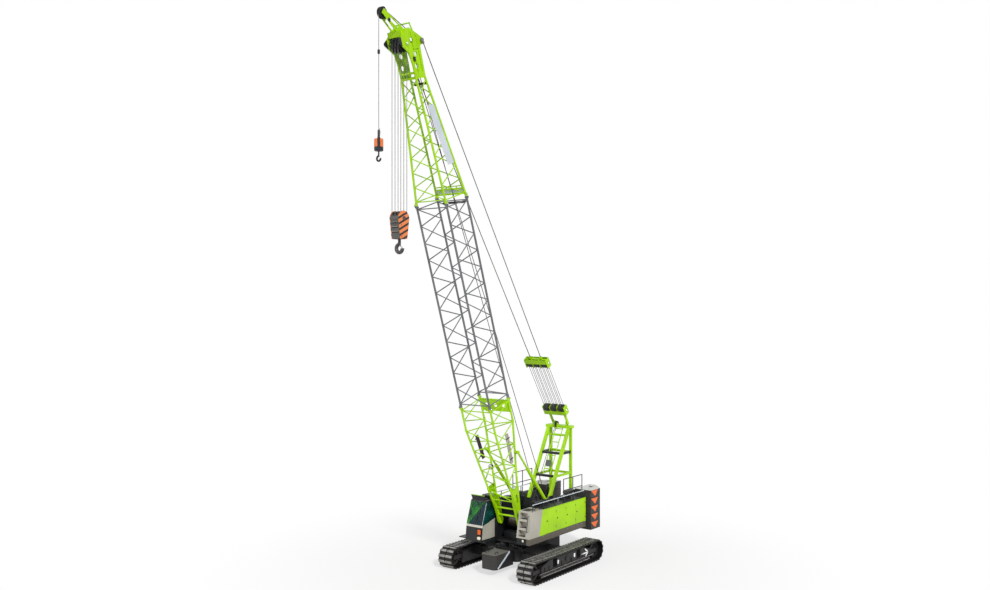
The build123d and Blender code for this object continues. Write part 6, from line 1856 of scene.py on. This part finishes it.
@dataclass
class Hooks(Assembly):
    """Both hooks with the ropes that carry them."""
    finishes: ClassVar[dict[str, Finish]] = {
        "main_falls": WIRE, "hook_block": BLOCK, "hook_block_sheaves": SHEAVE,
        "main_hook": FORGED, "aux_fall": WIRE, "aux_weight": WEIGHT, "aux_hook": BLACK}
    main_x: float = 8.2496
    main_line: float = 0.25
    main_rows: tuple[float, ...] = (-0.16, 0.0, 0.16)
    main_low: float = 15.26
    main_high: float = 22.03
    aux_x: float = 9.3999
    aux_low: float = 18.55
    aux_high: float = 23.06
    fall_radius: float = 0.011
    cheek: float = 0.245
    hook_bow: float = 0.158
    hook_middle: float = 14.092
    aux_hook_bow: float = 0.095
    aux_hook_middle: float = 17.461
    stop_z: float = 21.44
    block_lean: float = 0.141

    def add_pieces(self) -> None:
        """Falls, block fittings, hook latches and the socket of the single rope."""
        places = [(self.main_x + way * self.main_line, y)
                  for way in (-1, 1) for y in self.main_rows]
        self.falls("main_fall_ropes", "main", places, self.main_low, self.main_high, "main_falls")
        self.falls("aux_fall_rope", "aux", [(self.aux_x, 0.0)], self.aux_low, self.aux_high,
                   "aux_fall")
        piece("block_pins", "main_block", FORGED, *both_sides(*self.block_pins()))
        piece("block_guards", "main_block", FORGED, *self.block_guards())
        piece("block_slots", "main_block", RUBBER, *self.block_slots(0.0))
        piece("block_lips", "main_block", PALE, *self.block_slots(0.03))
        piece("main_hook_latch", "main_hook", ZINC,
              self.latch(self.main_x, self.hook_middle, self.hook_bow, 0.035))
        piece("aux_socket", "aux_block", FORGED, *self.socket())
        # Black plates on the ball weight: a painted shadow of the socket
        piece("aux_painted_shadow_plates", "aux_block", BLACK, *self.strap())
        piece("aux_hook_latch", "aux_hook", ZINC,
              self.latch(self.aux_x, self.aux_hook_middle, self.aux_hook_bow, 0.012))
        stop = turned([(0.02, 0.0), (0.05, 0.02), (0.05, 0.16), (0.02, 0.18)], 18)
        piece("aux_stop_weight", "aux_rope", BLACK,
              Facing.TOP.mount(stop, (self.aux_x, 0.0, self.stop_z)))

    def falls(self, name: str, side: str, places: Sequence[Span], low: float, high: float,
              node: str) -> None:
        """Upright ropes from the upper end down to the lower end, in place of a node.

        Args:
            name: The piece's name.
            side: main or aux; not used.
            places: The x and y of each rope.
            low: Lower end.
            high: Upper end.
            node: The node that the ropes stand for.
        """
        ropes = [rope(straight((x, y, high), (x, y, low), ROPE_STEP), self.fall_radius, ROPE_LAY)
                 for x, y in places]
        made = piece(name, "", WIRE, *ropes, replaces=[node])
        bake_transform(made)

    def block_pins(self) -> list[Surface]:
        """The shaft's nut and the bolts on the block's cheek."""
        nut = turned([(0.08, 0.0), (0.08, 0.016), (0.06, 0.03)], 22)
        spots = np.array([(self.main_x + dx, self.cheek, z) for dx, z in (
            (-0.16, 15.0), (0.16, 15.0), (-0.13, 14.56), (0.13, 14.56))])
        return [Facing.LEFT.mount(nut, (self.main_x, self.cheek, self.main_low)),
                Facing.LEFT.mount(bolt(0.02, 0.016), spots)]

    def block_guards(self) -> list[Surface]:
        """Round bars across the block's front and back that keep the ropes in."""
        shapes = []
        for dx, z in ((0.285, 15.36), (-0.285, 15.36), (0.27, 15.12), (-0.27, 15.12)):
            x = self.main_x + dx
            shapes.append(pipe([(x, -0.215, z), (x, 0.215, z)], 0.016, ALONG_Z, sides=10))
        return shapes

    def block_slots(self, lift: float) -> list[Surface]:
        """Flat bars across the block's front and rear plates, which lean in towards the hook."""
        outline = rounded(0.012, 0.014 if lift else 0.034, 0.004, 3)
        shapes = []
        for z in (15.08, 14.9, 14.72):
            reach = 0.3 - self.block_lean * (15.3 - z - lift) + 0.006
            for x in (self.main_x - reach, self.main_x + reach):
                shapes.append(bar((x, -0.17, z + lift), (x, 0.17, z + lift), outline, ALONG_Z))
        return shapes

    def latch(self, x: float, middle: float, bow: float, width: float) -> Surface:
        """A spring latch from the hook's neck to its point."""
        return bar((x, 0.0, middle + 0.85 * bow), (x, bow, middle + 0.1 * bow),
                   rounded(0.01, 2 * width, 0.003), ALONG_X)

    def socket(self) -> list[Surface]:
        """The wedge socket above the ball weight, with its pin and the rope's dead end."""
        x, z = self.aux_x, self.aux_low
        outline = np.array([(-0.03, -0.02), (0.03, -0.02), (0.06, 0.2), (0.02, 0.26),
                            (-0.03, 0.26)])
        wedge = slab(outline, 0.06, 0.008)
        dead_end = [(x, 0.03, z - 0.12), (x, 0.05, z - 0.03), (x, 0.05, z + 0.05)]
        return [Facing.FRONT.mount(wedge, (x - 0.03, 0.0, z - 0.26)),
                pipe([(x - 0.05, 0.0, z - 0.24), (x + 0.05, 0.0, z - 0.24)], 0.018, ALONG_Z,
                     sides=12),
                pipe(dead_end, 0.011, ALONG_X, 0.02, 10)]

    def strap(self) -> list[Surface]:
        """Black plates down both sides of the ball weight: a painted shadow of the socket on the
        orange.
        """
        plate = slab(rounded(0.11, 0.42, 0.02, 3), 0.014, 0.004)
        middle, slant = np.array([self.aux_x, 0.0, 18.04]), math.sqrt(0.5)
        shapes = []
        for way in (-1, 1):
            out = np.array([way * slant, way * slant, 0.0])
            side = np.array([-way * slant, way * slant, 0.0])
            shapes.append(plate.scattered(middle + 0.166 * out, side, ALONG_Z))
        return shapes


@dataclass
class Studio:
    """The camera, soft lights, pale floor and white backdrop."""
    eye: Point = (35.706, 25.561, 11.822)
    yaw: float = -2.506
    lens_mm: float = 34.70
    sensor_mm: float = 36.0
    shift: Span = (-0.0139, 0.0117)
    floor_radius: float = 60.0
    fade_start: float = 5.0
    fade_end: float = 16.0
    floor_white: float = 0.62
    sky_light: float = 0.36

    def build(self) -> None:
        """Sets up the whole studio."""
        bpy.context.scene.view_settings.view_transform = "Standard"
        self.camera()
        self.lights()
        self.world()
        self.floor()

    def camera(self) -> None:
        """A level camera at the photograph's place."""
        data = bpy.data.cameras.new("camera")
        data.lens = self.lens_mm
        data.sensor_width = self.sensor_mm
        data.shift_x, data.shift_y = self.shift
        data.clip_end = 500.0
        camera = bpy.data.objects.new("camera", data)
        bpy.context.scene.collection.objects.link(camera)
        ahead = Vector((math.cos(self.yaw), math.sin(self.yaw), 0.0))
        camera.location = self.eye
        camera.rotation_euler = ahead.to_track_quat("-Z", "Y").to_euler()
        bpy.context.scene.camera = camera

    def lights(self) -> None:
        """A soft sun from the front left and a weaker one from the other side."""
        for name, strength, spread, ahead in (("key", 2.5, 9.0, (-0.45, -0.72, -0.62)),
                                              ("fill", 0.6, 40.0, (-0.75, 0.5, -0.35))):
            data = bpy.data.lights.new(name, "SUN")
            data.energy = strength
            data.angle = math.radians(spread)
            light = bpy.data.objects.new(name, data)
            light.rotation_euler = Vector(ahead).to_track_quat("-Z", "Y").to_euler()
            bpy.context.scene.collection.objects.link(light)

    def seen(self, tree: Tree) -> Socket:
        """A mask that is one for camera, glossy and transmission rays."""
        rays = add_node(tree, "LightPath").outputs
        first = worked(tree, "MAXIMUM", rays["Is Camera Ray"], rays["Is Glossy Ray"])
        return worked(tree, "MAXIMUM", first, rays["Is Transmission Ray"])

    def world(self) -> None:
        """A white backdrop to the eye and a soft grey sky for the light."""
        world = bpy.data.worlds.new("studio")
        world.use_nodes = True
        bpy.context.scene.world = world
        tree = world.node_tree
        tree.nodes.clear()
        strength = ranged(tree, self.seen(tree), UNIT, (self.sky_light, 1.0))
        sky = add_node(tree, "Background", {}, {"Color": WHITE_LIGHT, "Strength": strength})
        add_node(tree, "OutputWorld", {}, {"Surface": sky.outputs["Background"]})

    def floor(self) -> None:
        """A pale round floor that keeps the shadow near the machine and fades to white.

        The disc is one face: radius times (cos, sin) of the turn at each rim point.
        """
        rim = rows(*circle(self.floor_radius, 96).T, 0.0)
        mesh = bpy.data.meshes.new("floor")
        mesh.from_pydata(rim.tolist(), [], [list(range(len(rim)))])
        floor = bpy.data.objects.new("floor", mesh)
        bpy.context.scene.collection.objects.link(floor)
        material = bpy.data.materials.new("pale_studio_floor")
        tree = clear_tree(material)
        place = add_node(tree, "TexCoord").outputs["Object"]
        fade = ranged(tree, measured(tree, "LENGTH", place), (self.fade_start, self.fade_end),
                      (self.floor_white, 1.0), smooth=True)
        share = worked(tree, "MULTIPLY", fade, self.seen(tree))
        matt = add_node(tree, "BsdfDiffuse", {}, {"Color": rgba("#F4F4F2")})
        white = add_node(tree, "Emission", {}, {"Color": WHITE_LIGHT, "Strength": 1.0})
        both = add_node(tree, "MixShader", {}, {
            0: share, 1: matt.outputs[0], 2: white.outputs[0]})
        add_node(tree, "OutputMaterial", {}, {"Surface": both.outputs[0]})
        mesh.materials.append(material)


def main() -> None:
    """Builds the sub-assemblies in order, then the studio."""
    logging.basicConfig(level=logging.INFO)
    assemblies = [Undercarriage(), Track(Side.LEFT), Track(Side.RIGHT), House(),
                  Counterweight(), Cab(), Gantry(), Boom(), Stays(), Hooks()]
    for assembly in assemblies:
        LOG.info("building the %s", type(assembly).__name__)
        assembly.build()
    Studio().build()


if __name__ == "__main__":
    main()
